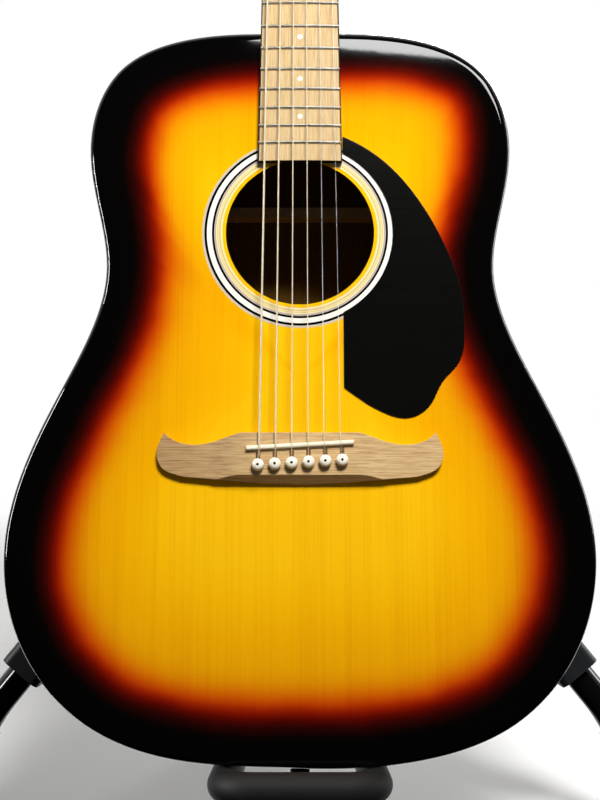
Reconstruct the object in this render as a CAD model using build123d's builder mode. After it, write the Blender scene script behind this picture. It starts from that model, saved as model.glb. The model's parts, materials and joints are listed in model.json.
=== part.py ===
from build123d import *
import math
import os

os.makedirs("parts", exist_ok=True)

# Stance: the guitar leans back on the stand, its tail above the floor
lean = 12.0
tail_height = 110.0
tail_setback = -234.0

# Body outline, as half widths and heights above the tail
body_length = 495.0
tail_flat_width, tail_flat_height = 84.0, 6.0
tail_corner_width, tail_corner_height = 140.0, 28.5
hip_width, hip_height = 181.0, 78.0
lower_bout_width, lower_bout_height = 193.0, 131.0
flank_width, flank_height = 165.0, 231.0
waist_width, waist_height = 131.0, 325.0
upper_bout_width, upper_bout_height = 144.3, 412.0
shoulder_width, shoulder_height = 124.0, 469.0
shoulder_top_width, shoulder_top_height = 72.0, 492.0

# Body shell
depth_at_tail = 120.0
depth_at_neck = 100.0
top_thickness = 2.8
back_thickness = 2.8
side_thickness = 2.3
edge_round = 2.5
lining_width = 5.0
lining_height = 12.0
block_width = 80.0
neck_block_length = 30.0
tail_block_length = 20.0
tenon_width = 20.0
tenon_length = 18.0
tenon_height = 70.0
joint_gap = 0.05

# Soundhole and rosette rings, as radii
hole_height = 351.0
hole_radius = 50.0
fine_ring_inner, fine_ring_outer = 52.7, 57.6
main_ring_inner, main_ring_outer = 58.1, 64.3
rim_ring_inner, rim_ring_outer = 64.7, 66.6
rosette_depth = 1.2

# Pickguard
guard_thickness = 0.8
guard_inner_edge = 29.2
guard_rosette_radius = 62.9
guard_board_gap = 0.4
guard_top = 418.7
guard_foot = 244.0
guard_upper_curve = ((73.2, 384.2), (102.3, 331.2))
guard_widest = (110.2, 286.0)
guard_lower_curve = ((104.4, 258.8), (95.2, 248.6), (86.8, 233.0), (69.5, 223.6), (52.0, 229.0))

# Braces
brace_width = 8.0
brace_height = 16.0
brace_tip = 3.0
brace_taper = 60.0
brace_clearance = 2.0
x_crossing_height = 274.0
x_brace_length = 330.0
x_brace_angle = 40.0
small_brace_height = 10.0
small_brace_width = 6.0
small_brace_taper = 25.0
upper_bar_height = 428.0
upper_bar_length = 250.0
tone_bar_angle = -18.0
tone_bars = (((-30.0, 137.0), 150.0), ((-12.0, 88.0), 190.0))
finger_brace_angle = -38.0
finger_brace_length = 62.0
finger_brace_places = ((148.0, 172.0), (118.0, 262.0))
back_brace_width = 7.5
back_brace_heights = (92.0, 195.0, 298.0, 394.0)
bridge_plate_width = 118.0
bridge_plate_length = 38.0
bridge_plate_thickness = 2.6

# Strings: gauges from bass to treble, spread at saddle, pins and nut
scale_length = 648.0
saddle_line = 208.5
string_diameters = (1.35, 1.07, 0.81, 0.61, 0.41, 0.31)
wound_count = 4
saddle_spread = 53.0
pin_spread = 54.8
nut_spread = 36.0
string_gap = 0.03
pin_turn_radius = 2.0
nut_turn_radius = 3.0
string_turns = 3

# Bridge, saddle and pins
bridge_half_width = 93.8
bridge_top_edge = 213.0
bridge_bottom_edge = 179.5
bridge_middle_half = 38.5
bridge_dip_width, bridge_dip_height = 65.0, 205.6
bridge_tip_width, bridge_tip_height = 89.2, 213.5
bridge_end_height = 201.0
bridge_corner_width, bridge_corner_height = 89.6, 189.4
bridge_turn_width, bridge_turn_height = 80.0, 185.3
bridge_wing_width, bridge_wing_height = 68.0, 183.6
bridge_height = 8.5
bridge_wing_thickness = 4.8
bridge_tip_thickness = 3.8
bridge_ramp_end = 60.0
bridge_bevel_width = 5.8
bridge_bevel_drop = 6.3
cut_margin = 10.0
saddle_length = 70.0
saddle_thickness = 3.0
saddle_centre = 204.6
saddle_top = 11.2
saddle_seat = 4.0
saddle_slant = 3.2
saddle_crest = 1.2
pin_line = 193.3
pin_head_radius = 4.1
pin_head_height = 5.4
pin_collar_radius = 3.3
pin_belt_foot = 1.3
pin_belt_top = 2.2
pin_shank_radius = 2.6
pin_tip_radius = 2.1
pin_length = 26.0
string_slot = 1.6
string_bend = 6.0
string_slot_floor = 5.0
string_ramp = 4.8
string_ramp_width = 2.8
ball_radius = 1.9
ball_half_length = 1.6

# Neck, fretboard, frets and nut
neck_depth_at_nut = 14.5
neck_depth_at_heel = 17.5
heel_foot_width = 30.0
heel_foot_length = 15.0
heel_waist_length = 27.0
heel_waist_width = 42.0
heel_root_length = 62.0
heel_clearance = 6.0
heel_root_inset = 6.0
fret_count = 20
nut_width = 42.0
nut_thickness = 5.0
nut_height = 8.4
nut_slot_floor = 7.5
nut_bevel_width = 2.0
nut_bevel_drop = 1.4
nut_exit = 0.4
board_end = 399.8
board_end_width = 57.5
board_thickness = 6.0
board_radius = 400.0
fret_width = 2.3
fret_height = 1.1
fret_tang = 0.6
fret_tang_depth = 1.6
fret_end_inset = 0.3
dot_radius = 1.7
dot_depth = 1.2
dot_frets = (3, 5, 7, 9, 15, 17, 19)
octave_fret = 12
octave_dot_spread = 18.0
rod_radius = 3.0
rod_depth = 7.0
rod_heel_end = 512.0
rod_nut_across = 7.0
rod_nut_length = 8.0
rod_pocket_width = 10.0
rod_pocket_length = 20.0

# Headstock and machine heads
head_tilt = 14.0
head_length = 176.0
head_thickness = 14.5
headplate_thickness = 1.2
head_base_width = 66.0
head_flare = 32.0
head_top_width = 75.0
head_corner = 16.0
head_crown = 5.0
cover_length = 38.0
cover_width = 24.0
cover_thickness = 1.6
cover_nut_gap = 1.0
cover_waist_width = 12.0
cover_waist_height = 22.8
post_across = 26.5
post_first = 48.0
post_pitch = 40.0
post_radius = 3.0
post_waist = 2.4
post_height = 19.0
post_shoulder = 2.0
post_taper = 1.0
post_collar_height = 3.5
post_collar_taper = 1.5
post_chamfer = 0.8
string_height_on_post = 8.0
bushing_radius = 4.4
bushing_flange = 5.6
bushing_flange_height = 1.8
bushing_depth = 8.0
running_gap = 0.05
tuner_plate_length = 30.0
tuner_plate_width = 14.0
tuner_plate_shift = 3.5
tuner_plate_thickness = 1.2
gear_teeth = 14
gear_tip_radius = 6.1
gear_root_radius = 4.6
gear_thickness = 3.0
gear_lift = 2.7
gear_screw_radius = 3.0
tooth_share = 0.42
worm_distance = 8.5
worm_radius = 2.1
worm_length = 9.6
worm_shaft_radius = 1.5
worm_shaft_end = 1.0
ear_thickness = 2.0
ear_width = 7.0
ear_height = 7.2
ear_half_gap = 5.0
button_start = 17.0
button_length = 15.0
button_width = 20.0
button_thickness = 8.0
button_rim = 2.4
button_shaft_seat = 2.0
button_collar_radius = 2.7
button_collar_length = 4.0
button_collar_seat = 1.0
screw_radius = 0.9
screw_head_radius = 1.9
screw_head_height = 1.1
screw_length = 9.0
screw_margin = 2.7

# Strap button at the tail
strap_pin_depth = 58.0
strap_pin_radius = 3.0
strap_pin_head_radius = 7.0
strap_pin_waist = 4.5
strap_pin_reach = 13.0
strap_pin_seat = 0.5
strap_pin_rim = 2.0
strap_pin_cap = 3.0
strap_pin_chamfer = 0.8

# Stand frame, in a plane behind the guitar's back
frame_gap = 18.0
apex_height = 306.0
splay = 39.0
leg_radius = 11.0
tube_wall = 1.5
leg_start = 36.0
knee_at = 366.0
knee_bend = 50.0
foot_sideways = 0.52
foot_forward = 0.65
tube_floor_gap = 9.0
collar_end = 333.0
collar_length = 44.0
collar_size = 33.0
collar_corner = 6.0
boot_start = 4.0
boot_radius = 13.2
boot_foot_radius = 16.5
boot_foot_height = 22.0
boot_foot_edge = 12.0
boot_lip = 0.6
crossbar_radius = 9.5
crossbar_end_gap = 22.0
boss_radius = 13.0
boss_length = 32.0
socket_start = 26.0
socket_end = 96.0
socket_radius = 15.5
hub_width = 56.0
hub_height = 62.0
hub_depth = 28.0
hub_round = 5.0
hub_inset = 1.0

# Back pads, and the cradle with its sleeve
pad_start = 108.0
pad_end = 190.0
touch_gap = 0.3
cradle_half_width = 48.5
cradle_radius = 6.0
sleeve_radius = 10.5
arm_drop = 11.0
arm_bend = 22.0
front_gap = 4.0
front_bend = 20.0
sleeve_start = 30.0
clamp_radius = 14.5
clamp_length = 26.0
clamp_socket = 30.0
clamp_socket_radius = 9.0

# Rear leg and its hinge
rear_angle = 34.0
rear_pivot_back = 27.0
rear_tube_radius = 9.5
rear_tube_start = 34.0
rear_plug = 30.0
eye_radius = 9.5
eye_width = 20.0
ear_wall = 6.0
ear_root = 4.0
hinge_pin_radius = 4.0
hinge_head_radius = 6.5
hinge_head_height = 2.5
hinge_gap = 0.3
rear_boot_length = 60.0
rear_boot_radius = 11.7

# Frame bolts
bolt_radius = 2.5
bolt_head_radius = 4.6
bolt_head_height = 3.0
collar_bolt_at = 300.0
socket_bolt_at = 82.0


# Reference planes: the guitar's face, its back, and the frame behind it
lean_turn = math.radians(lean)
GUITAR = Plane(
    origin=(0, tail_setback, tail_height),
    x_dir=(1, 0, 0),
    z_dir=(0, -math.cos(lean_turn), math.sin(lean_turn)),
)
FRONT = Axis(GUITAR.origin, GUITAR.z_dir)
back_turn = math.atan((depth_at_tail - depth_at_neck) / body_length)
BACK = Plane(
    origin=GUITAR.from_local_coords((0, 0, -depth_at_tail)),
    x_dir=GUITAR.x_dir,
    z_dir=GUITAR.z_dir * math.cos(back_turn) - GUITAR.y_dir * math.sin(back_turn),
)
BACK_INSIDE = BACK.offset(back_thickness)
FRAME = BACK.offset(-frame_gap)
FLOOR = Plane.XY


def spot(across, along, out):
    """A point on the guitar: across, up from the tail, and out of the soundboard."""
    return GUITAR.from_local_coords((across, along, out))


def frame_spot(across, up, out=0.0):
    """A point on the stand's leaning frame."""
    return FRAME.from_local_coords((across, up, out))


def face_plane(out):
    """A plane parallel to the soundboard."""
    return GUITAR.offset(out)


def cross_plane(along, across=0.0):
    """A plane across the neck, with x across and y out of the soundboard."""
    return Plane(spot(across, along, 0), x_dir=GUITAR.x_dir, z_dir=-GUITAR.y_dir)


def side_plane(across):
    """A plane along the neck, with x up the neck and y out of the soundboard."""
    return Plane(spot(across, 0, 0), x_dir=GUITAR.y_dir, z_dir=GUITAR.x_dir)


def write(piece, node):
    """Label a finished piece and save it."""
    piece.label = node
    export_step(piece, f"parts/{node}.step")


# The body outline: one closed curve through points on both sides
half_outline = [
    (tail_flat_width, tail_flat_height),
    (tail_corner_width, tail_corner_height),
    (hip_width, hip_height),
    (lower_bout_width, lower_bout_height),
    (flank_width, flank_height),
    (waist_width, waist_height),
    (upper_bout_width, upper_bout_height),
    (shoulder_width, shoulder_height),
    (shoulder_top_width, shoulder_top_height),
]
other_half = [(-across, along) for across, along in reversed(half_outline)]
outline_points = [(0.0, 0.0)] + half_outline + [(0.0, body_length)] + other_half
outline_curve = Edge.make_spline([Vector(*point) for point in outline_points], periodic=True)


def inset_points(inset):
    """The outline's points, moved inwards."""
    moved = []
    for point in outline_points:
        along = outline_curve.tangent_at(outline_curve.param_at_point(Vector(*point)))
        moved.append((point[0] - inset * along.Y, point[1] + inset * along.X))
    return moved


def outline_face(plane, inset=0.0, slope=0.0):
    """The whole body outline as a face, lengthened for a plane that slopes."""
    stretch = 1 / math.cos(slope)
    with BuildSketch(plane) as region:
        with BuildLine():
            Spline(*[(across, along * stretch) for across, along in inset_points(inset)], periodic=True)
        make_face()
    return region.sketch


def outline_rise(across):
    """Height of the outline above the tail, near the tail, at a distance from the centre."""
    low, high = 0.0, outline_curve.param_at_point(Vector(*outline_points[1]))
    for _ in range(40):
        middle = (low + high) / 2
        if outline_curve.position_at(middle).X < across:
            low = middle
        else:
            high = middle
    return outline_curve.position_at(low).Y


def body_prism(inset, start):
    """Everything inside the outline, down to the inside of the back."""
    with BuildPart() as prism:
        extrude(outline_face(face_plane(start), inset), amount=-depth_at_tail)
        split(bisect_by=BACK_INSIDE, keep=Keep.TOP)
    return prism.part


def spread_places(spread):
    """Six places across the strings, from bass to treble."""
    return [spread * (number / 5 - 0.5) for number in range(6)]


def ring(plane, centre, outer, inner):
    """A flat ring."""
    with BuildSketch(plane) as region:
        with Locations(centre):
            Circle(outer)
            Circle(inner, mode=Mode.SUBTRACT)
    return region.sketch


saddle_turn = math.tan(math.radians(saddle_slant))
pin_places = [(across, pin_line + across * saddle_turn) for across in spread_places(pin_spread)]
hole_centre = (0, hole_height)
rosette_rings = (
    (fine_ring_outer, fine_ring_inner),
    (main_ring_outer, main_ring_inner),
    (rim_ring_outer, rim_ring_inner),
)
pin_bore = pin_shank_radius + joint_gap
slot_reach = pin_bore + max(string_diameters) + 2 * joint_gap


def pin_holes(plane, depth):
    """The six pin holes, each with a slot for its string towards the saddle."""
    with BuildPart() as holes:
        for across, along in pin_places:
            with BuildSketch(plane):
                with Locations((across, along)):
                    Circle(pin_bore)
                with Locations((across, along + slot_reach / 2)):
                    Rectangle(string_slot, slot_reach)
            extrude(amount=-depth)
    return holes.part


# Soundboard: a thin plate with a rounded edge, a soundhole and rosette channels
with BuildPart() as soundboard:
    extrude(outline_face(face_plane(0)), amount=-top_thickness)
    fillet(soundboard.faces().sort_by(FRONT)[-1].outer_wire().edges(), edge_round)
    with BuildSketch(face_plane(0)):
        with Locations(hole_centre):
            Circle(hole_radius)
    extrude(amount=-top_thickness, mode=Mode.SUBTRACT)
    for outer, inner in rosette_rings:
        extrude(ring(face_plane(0), hole_centre, outer, inner), amount=-rosette_depth, mode=Mode.SUBTRACT)
    add(pin_holes(face_plane(0), top_thickness), mode=Mode.SUBTRACT)
write(soundboard.part, "soundboard")

# Rosette: three inlaid rings, flush with the soundboard
with BuildPart() as rosette:
    for outer, inner in rosette_rings:
        extrude(ring(face_plane(0), hole_centre, outer, inner), amount=-rosette_depth)
write(rosette.part, "rosette")

# Back: a flat plate that slopes towards the neck
with BuildPart() as back_plate:
    extrude(outline_face(BACK, slope=back_turn), amount=back_thickness)
    back_face = back_plate.faces().sort_by(Axis(BACK.origin, BACK.z_dir))[0]
    fillet(back_face.outer_wire().edges(), edge_round)
write(back_plate.part, "back_plate")


def tenon_box(gap):
    """The neck's tenon, with a gap all round where it is a slot."""
    with BuildPart() as box:
        with BuildSketch(face_plane(-top_thickness)):
            with Locations((0, body_length - tenon_length - gap)):
                Rectangle(
                    tenon_width + 2 * gap,
                    tenon_length + side_thickness + gap,
                    align=(Align.CENTER, Align.MIN),
                )
        extrude(amount=-tenon_height - gap)
    return box.part


def strap_bore(radius):
    """The strap button's hole through the tail."""
    with BuildPart() as bore:
        with BuildSketch(cross_plane(-side_thickness)):
            with Locations((0, -strap_pin_depth)):
                Circle(radius)
        extrude(amount=-side_thickness - tail_block_length - 2 * side_thickness)
    return bore.part


# Sides: two bent ribs that meet at the tail and at the neck's tenon
def side(keep):
    with BuildPart() as rib:
        extrude(outline_face(face_plane(-top_thickness)), amount=-depth_at_tail)
        extrude(
            outline_face(face_plane(-top_thickness), side_thickness),
            amount=-depth_at_tail,
            mode=Mode.SUBTRACT,
        )
        split(bisect_by=BACK_INSIDE, keep=Keep.TOP)
        split(bisect_by=Plane.YZ, keep=keep)
        add(tenon_box(joint_gap), mode=Mode.SUBTRACT)
        add(strap_bore(strap_pin_radius), mode=Mode.SUBTRACT)
    return rib.part


write(side(Keep.BOTTOM), "side_bass")
write(side(Keep.TOP), "side_treble")


def end_blocks(gap):
    """The spaces of the neck block and the tail block."""
    with BuildPart() as spaces:
        with BuildSketch(face_plane(0)):
            with Locations((0, body_length)):
                Rectangle(
                    block_width + 2 * gap,
                    2 * (side_thickness + neck_block_length + gap),
                )
            Rectangle(block_width + 2 * gap, 2 * (side_thickness + tail_block_length + gap))
        extrude(amount=-depth_at_tail)
    return spaces.part


# Linings: the strips that glue the plates to the sides
with BuildPart() as top_lining:
    extrude(outline_face(face_plane(-top_thickness), side_thickness), amount=-lining_height)
    extrude(
        outline_face(face_plane(-top_thickness), side_thickness + lining_width),
        amount=-lining_height,
        mode=Mode.SUBTRACT,
    )
    add(end_blocks(joint_gap), mode=Mode.SUBTRACT)
write(top_lining.part, "top_lining")

with BuildPart() as back_lining:
    add(body_prism(side_thickness, -top_thickness))
    add(body_prism(side_thickness + lining_width, -top_thickness), mode=Mode.SUBTRACT)
    split(bisect_by=BACK_INSIDE.offset(lining_height), keep=Keep.BOTTOM)
    add(end_blocks(joint_gap), mode=Mode.SUBTRACT)
write(back_lining.part, "back_lining")

# End blocks: the neck block with its mortise, and the tail block
with BuildPart() as neck_block:
    add(body_prism(side_thickness, -top_thickness))
    add(end_blocks(0), mode=Mode.INTERSECT)
    split(bisect_by=cross_plane(body_length / 2), keep=Keep.BOTTOM)
    add(tenon_box(joint_gap), mode=Mode.SUBTRACT)
write(neck_block.part, "neck_block")

with BuildPart() as tail_block:
    add(body_prism(side_thickness, -top_thickness))
    add(end_blocks(0), mode=Mode.INTERSECT)
    split(bisect_by=cross_plane(body_length / 2), keep=Keep.TOP)
    add(strap_bore(strap_pin_radius), mode=Mode.SUBTRACT)
write(tail_block.part, "tail_block")


def bar(middle, angle, length, width, height, taper, seat):
    """A glued bar on a seat plane, with long tapers to thin tips."""
    turn = math.radians(angle)
    along = seat.x_dir * math.cos(turn) + seat.y_dir * math.sin(turn)
    start = seat.from_local_coords((middle[0], middle[1], 0)) - along * (length / 2)
    with BuildPart() as piece:
        with BuildSketch(Plane(start, x_dir=along, z_dir=along.cross(seat.z_dir))):
            with BuildLine():
                Polyline(
                    (0, 0),
                    (length, 0),
                    (length, brace_tip),
                    (length - taper, height),
                    (taper, height),
                    (0, brace_tip),
                    close=True,
                )
            make_face()
        extrude(amount=width / 2, both=True)
    return piece.part


def notch(middle, angle, low, high, seat):
    """The half of a lap joint that is cut from a bar."""
    with BuildPart() as cut:
        with BuildSketch(seat.offset(low)):
            with Locations(Location((middle[0], middle[1]), angle)):
                Rectangle(3 * brace_width, brace_width + 2 * joint_gap)
        extrude(amount=high - low)
    return cut.part


# Top braces: a lapped X, a bar above the soundhole, two tone bars and four finger braces
UNDER_TOP = Plane(spot(0, 0, -top_thickness), x_dir=-GUITAR.x_dir, z_dir=-GUITAR.z_dir)
brace_space = body_prism(side_thickness + lining_width + brace_clearance, -top_thickness)
crossing = (0, x_crossing_height)
lap = brace_height / 2
x_bass = bar(crossing, x_brace_angle, x_brace_length, brace_width, brace_height, brace_taper, UNDER_TOP)
x_treble = bar(crossing, -x_brace_angle, x_brace_length, brace_width, brace_height, brace_taper, UNDER_TOP)
x_bass = x_bass - notch(crossing, -x_brace_angle, -joint_gap, lap, UNDER_TOP)
x_treble = x_treble - notch(crossing, x_brace_angle, lap, brace_height + joint_gap, UNDER_TOP)
upper_bar = bar(
    (0, upper_bar_height), 0, upper_bar_length, brace_width, brace_height, brace_taper, UNDER_TOP
)
small = (small_brace_width, small_brace_height, small_brace_taper, UNDER_TOP)
top_braces = [x_bass, x_treble, upper_bar]
for middle, length in tone_bars:
    top_braces.append(bar(middle, tone_bar_angle, length, *small))
for side_of in (-1, 1):
    for across, along in finger_brace_places:
        turn = side_of * finger_brace_angle
        top_braces.append(bar((side_of * across, along), turn, finger_brace_length, *small))
top_brace_solids = [(piece & brace_space).solid() for piece in top_braces]
write(Compound(top_brace_solids), "top_braces")

# Bridge plate: a hardwood patch under the bridge, between the legs of the X
with BuildPart() as bridge_plate:
    with BuildSketch(face_plane(-top_thickness)):
        with Locations((0, pin_line)):
            Rectangle(bridge_plate_width, bridge_plate_length)
    extrude(amount=-bridge_plate_thickness)
    add(pin_holes(face_plane(0), top_thickness + bridge_plate_thickness), mode=Mode.SUBTRACT)
write(bridge_plate.part, "bridge_plate")

# Back braces: four bars across the back
back_bars = [
    bar((0, along), 0, 2 * lower_bout_width, back_brace_width, brace_height, brace_taper, BACK_INSIDE)
    for along in back_brace_heights
]
write(Compound([(piece & brace_space).solid() for piece in back_bars]), "back_braces")

# Strap button: turned, pushed into the tail block
with BuildPart() as end_pin:
    with BuildSketch(side_plane(0)):
        with BuildLine():
            Polyline(
                (tail_block_length, -strap_pin_depth),
                (tail_block_length, -strap_pin_depth + strap_pin_radius - joint_gap),
                (-strap_pin_seat, -strap_pin_depth + strap_pin_radius - joint_gap),
                (-strap_pin_seat, -strap_pin_depth + strap_pin_head_radius),
                (-strap_pin_rim, -strap_pin_depth + strap_pin_head_radius),
            )
            ThreePointArc(
                (-strap_pin_rim, -strap_pin_depth + strap_pin_head_radius),
                (-strap_pin_reach / 2, -strap_pin_depth + strap_pin_waist),
                (-strap_pin_reach + strap_pin_cap, -strap_pin_depth + strap_pin_head_radius),
            )
            Polyline(
                (-strap_pin_reach + strap_pin_cap, -strap_pin_depth + strap_pin_head_radius),
                (-strap_pin_reach + strap_pin_chamfer, -strap_pin_depth + strap_pin_head_radius),
                (-strap_pin_reach, -strap_pin_depth + strap_pin_waist),
                (-strap_pin_reach, -strap_pin_depth),
                (tail_block_length, -strap_pin_depth),
            )
        make_face()
    revolve(axis=Axis(spot(0, 0, -strap_pin_depth), GUITAR.y_dir))
write(end_pin.part, "end_pin")


# Pickguard: one curve from the fretboard round to the point, cut back along the rosette
def guard_outline():
    guard_start = (guard_inner_edge, guard_top)
    guard_end = (guard_inner_edge, guard_foot)
    with BuildSketch(face_plane(0)) as region:
        with BuildLine():
            Spline(guard_start, *guard_upper_curve, guard_widest, tangents=[(1, -0.42), (0, -1)])
            Spline(guard_widest, *guard_lower_curve, guard_end, tangents=[(0, -1), (-1, 0.72)])
            Line(guard_end, guard_start)
        make_face()
        with Locations(hole_centre):
            Circle(guard_rosette_radius, mode=Mode.SUBTRACT)
    return region.sketch


def board_width(along):
    """Width of the fretboard and of the neck under it."""
    share = (along - board_end) / (saddle_line + scale_length - board_end)
    return board_end_width + share * (nut_width - board_end_width)


nut_line = saddle_line + scale_length
nut_back = nut_line + nut_thickness


def board_outline(inset):
    """The tapered outline of the fretboard."""
    with BuildSketch(face_plane(0)) as region:
        with BuildLine():
            Polyline(
                (board_end_width / 2 - inset, board_end),
                (nut_width / 2 - inset, nut_line),
                (inset - nut_width / 2, nut_line),
                (inset - board_end_width / 2, board_end),
                close=True,
            )
        make_face()
    return region.sketch


with BuildPart() as pickguard:
    extrude(guard_outline(), amount=guard_thickness)
    extrude(board_outline(-guard_board_gap), amount=board_thickness, mode=Mode.SUBTRACT)
    pickguard_solid = pickguard.solids().sort_by(SortBy.VOLUME)[-1]
write(Part(pickguard_solid.wrapped), "pickguard")

# Bridge: swept-up wing tips, a raised middle, a bevelled belly, a saddle slot and pin holes
with BuildPart() as bridge:
    with BuildSketch(face_plane(0)):
        with BuildLine():
            Line((0, bridge_top_edge), (bridge_middle_half, bridge_top_edge))
            Spline(
                (bridge_middle_half, bridge_top_edge),
                (bridge_dip_width, bridge_dip_height),
                (bridge_tip_width, bridge_tip_height),
                tangents=[(1, -0.25), (0.8, 1)],
            )
            Spline(
                (bridge_tip_width, bridge_tip_height),
                (bridge_half_width, bridge_end_height),
                (bridge_corner_width, bridge_corner_height),
                (bridge_turn_width, bridge_turn_height),
                (bridge_wing_width, bridge_wing_height),
                tangents=[(0.5, -1), (-1, -0.07)],
            )
            Spline(
                (bridge_wing_width, bridge_wing_height),
                (0, bridge_bottom_edge),
                tangents=[(-1, -0.07), (-1, 0)],
            )
            mirror(about=Plane.YZ)
        make_face()
    extrude(amount=bridge_height)
    past_tip = bridge_half_width + cut_margin
    with BuildSketch(cross_plane(bridge_bottom_edge - cut_margin)):
        with BuildLine():
            Polyline((0, 0), (past_tip, 0), (past_tip, bridge_tip_thickness))
            Line((past_tip, bridge_tip_thickness), (bridge_ramp_end, bridge_wing_thickness))
            Spline(
                (bridge_ramp_end, bridge_wing_thickness),
                (bridge_middle_half, bridge_height),
                tangents=[(-1, 0.03), (-1, 0)],
            )
            Line((bridge_middle_half, bridge_height), (0, bridge_height))
            mirror(about=Plane.YZ)
        make_face()
    extrude(amount=-(bridge_tip_height - bridge_bottom_edge + 2 * cut_margin), mode=Mode.INTERSECT)
    with BuildSketch(side_plane(0)):
        with BuildLine():
            Polyline(
                (bridge_bottom_edge + bridge_bevel_width, bridge_height),
                (bridge_bottom_edge, bridge_height - bridge_bevel_drop),
                (bridge_bottom_edge - bridge_bevel_width, bridge_height - 2 * bridge_bevel_drop),
                (bridge_bottom_edge - bridge_bevel_width, bridge_height),
                close=True,
            )
        make_face()
    extrude(amount=bridge_half_width, both=True, mode=Mode.SUBTRACT)
    with BuildSketch(face_plane(bridge_height)):
        with Locations(Location((0, saddle_centre), saddle_slant)):
            Rectangle(saddle_length + 2 * joint_gap, saddle_thickness + 2 * joint_gap)
    extrude(amount=-saddle_seat, mode=Mode.SUBTRACT)
    add(pin_holes(face_plane(bridge_height), bridge_height), mode=Mode.SUBTRACT)
    for across, along in pin_places:
        with BuildSketch(side_plane(across)):
            with BuildLine():
                Polyline(
                    (along, bridge_height),
                    (along + slot_reach + string_ramp, bridge_height),
                    (along + slot_reach, string_slot_floor),
                    (along, string_slot_floor),
                    close=True,
                )
            make_face()
        extrude(amount=string_ramp_width / 2, both=True, mode=Mode.SUBTRACT)
write(bridge.part, "bridge")

# Saddle: a slanted strip of bone with a rounded crest
with BuildPart() as saddle:
    with BuildSketch(face_plane(bridge_height - saddle_seat)):
        with Locations(Location((0, saddle_centre), saddle_slant)):
            Rectangle(saddle_length, saddle_thickness)
    extrude(amount=saddle_top - bridge_height + saddle_seat)
    crest = saddle.faces().sort_by(FRONT)[-1].edges().sort_by(SortBy.LENGTH)[-2:]
    fillet(crest, saddle_crest)
write(saddle.part, "saddle")

# Bridge pins: turned, with a domed head and a tapered shank
with BuildPart() as bridge_pins:
    for across, along in pin_places:
        with BuildSketch(cross_plane(along, across)):
            with BuildLine():
                Polyline(
                    (0, bridge_height + pin_head_height),
                    (0, bridge_height - pin_length),
                    (pin_tip_radius, bridge_height - pin_length),
                    (pin_shank_radius, bridge_height),
                    (pin_collar_radius, bridge_height),
                    (pin_head_radius, bridge_height + pin_belt_foot),
                    (pin_head_radius, bridge_height + pin_belt_top),
                )
                Spline(
                    (pin_head_radius, bridge_height + pin_belt_top),
                    (0, bridge_height + pin_head_height),
                    tangents=[(0, 1), (-1, 0)],
                )
            make_face()
        revolve(axis=Axis(spot(across, along, 0), GUITAR.z_dir))
write(bridge_pins.part, "bridge_pins")

# Fretboard: tapered, with a cambered top, fret slots and dot pockets
camber_centre = board_thickness - board_radius
CAMBER = Axis(spot(0, 0, camber_centre), GUITAR.y_dir)
camber_arc = math.degrees(board_end_width / board_radius)
start_turn = math.radians(camber_arc / 2)
CAMBER_START = Plane(
    spot(0, 0, camber_centre),
    x_dir=GUITAR.y_dir,
    z_dir=GUITAR.x_dir * math.cos(start_turn) + GUITAR.z_dir * math.sin(start_turn),
)
fret_lines = [saddle_line + scale_length * 2 ** (-number / 12) for number in range(1, fret_count + 1)]


def between_frets(number):
    """Half way between a fret and the one before it."""
    return (fret_lines[number - 1] + fret_lines[number - 2]) / 2


dot_places = [(0, between_frets(number)) for number in dot_frets]
for side_of in (-1, 1):
    dot_places.append((side_of * octave_dot_spread / 2, between_frets(octave_fret)))


def camber_round():
    """The round bar whose surface is the fretboard's top."""
    with BuildPart() as bar_round:
        with BuildSketch(cross_plane(board_end - 1)):
            with Locations((0, camber_centre)):
                Circle(board_radius)
        extrude(amount=-(nut_line - board_end + 2))
    return bar_round.part


with BuildPart() as position_dots:
    with BuildSketch(face_plane(board_thickness - dot_depth)):
        with Locations(*dot_places):
            Circle(dot_radius)
    extrude(amount=2 * dot_depth)
    add(camber_round(), mode=Mode.INTERSECT)
write(position_dots.part, "position_dots")

with BuildPart() as fretboard:
    extrude(board_outline(0), amount=board_thickness)
    add(camber_round(), mode=Mode.INTERSECT)
    with BuildSketch(CAMBER_START):
        for line in fret_lines:
            with Locations((line, board_radius)):
                Rectangle(fret_tang + joint_gap, 2 * fret_tang_depth + joint_gap)
    revolve(axis=CAMBER, revolution_arc=camber_arc, mode=Mode.SUBTRACT)
    with BuildSketch(face_plane(board_thickness - dot_depth)):
        with Locations(*dot_places):
            Circle(dot_radius)
    extrude(amount=2 * dot_depth, mode=Mode.SUBTRACT)
write(fretboard.part, "fretboard")

# Frets: crowned wire bent to the camber, each with a tang in its slot
with BuildPart() as frets:
    with BuildSketch(CAMBER_START):
        for line in fret_lines:
            with BuildLine():
                Line((line + fret_width / 2, board_radius), (line - fret_width / 2, board_radius))
                ThreePointArc(
                    (line - fret_width / 2, board_radius),
                    (line, board_radius + fret_height),
                    (line + fret_width / 2, board_radius),
                )
            make_face()
            with Locations((line, board_radius)):
                Rectangle(fret_tang, fret_tang_depth, align=(Align.CENTER, Align.MAX))
    revolve(axis=CAMBER, revolution_arc=camber_arc)
    extrude(board_outline(fret_end_inset), amount=2 * board_thickness, mode=Mode.INTERSECT)
write(frets.part, "frets")

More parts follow.
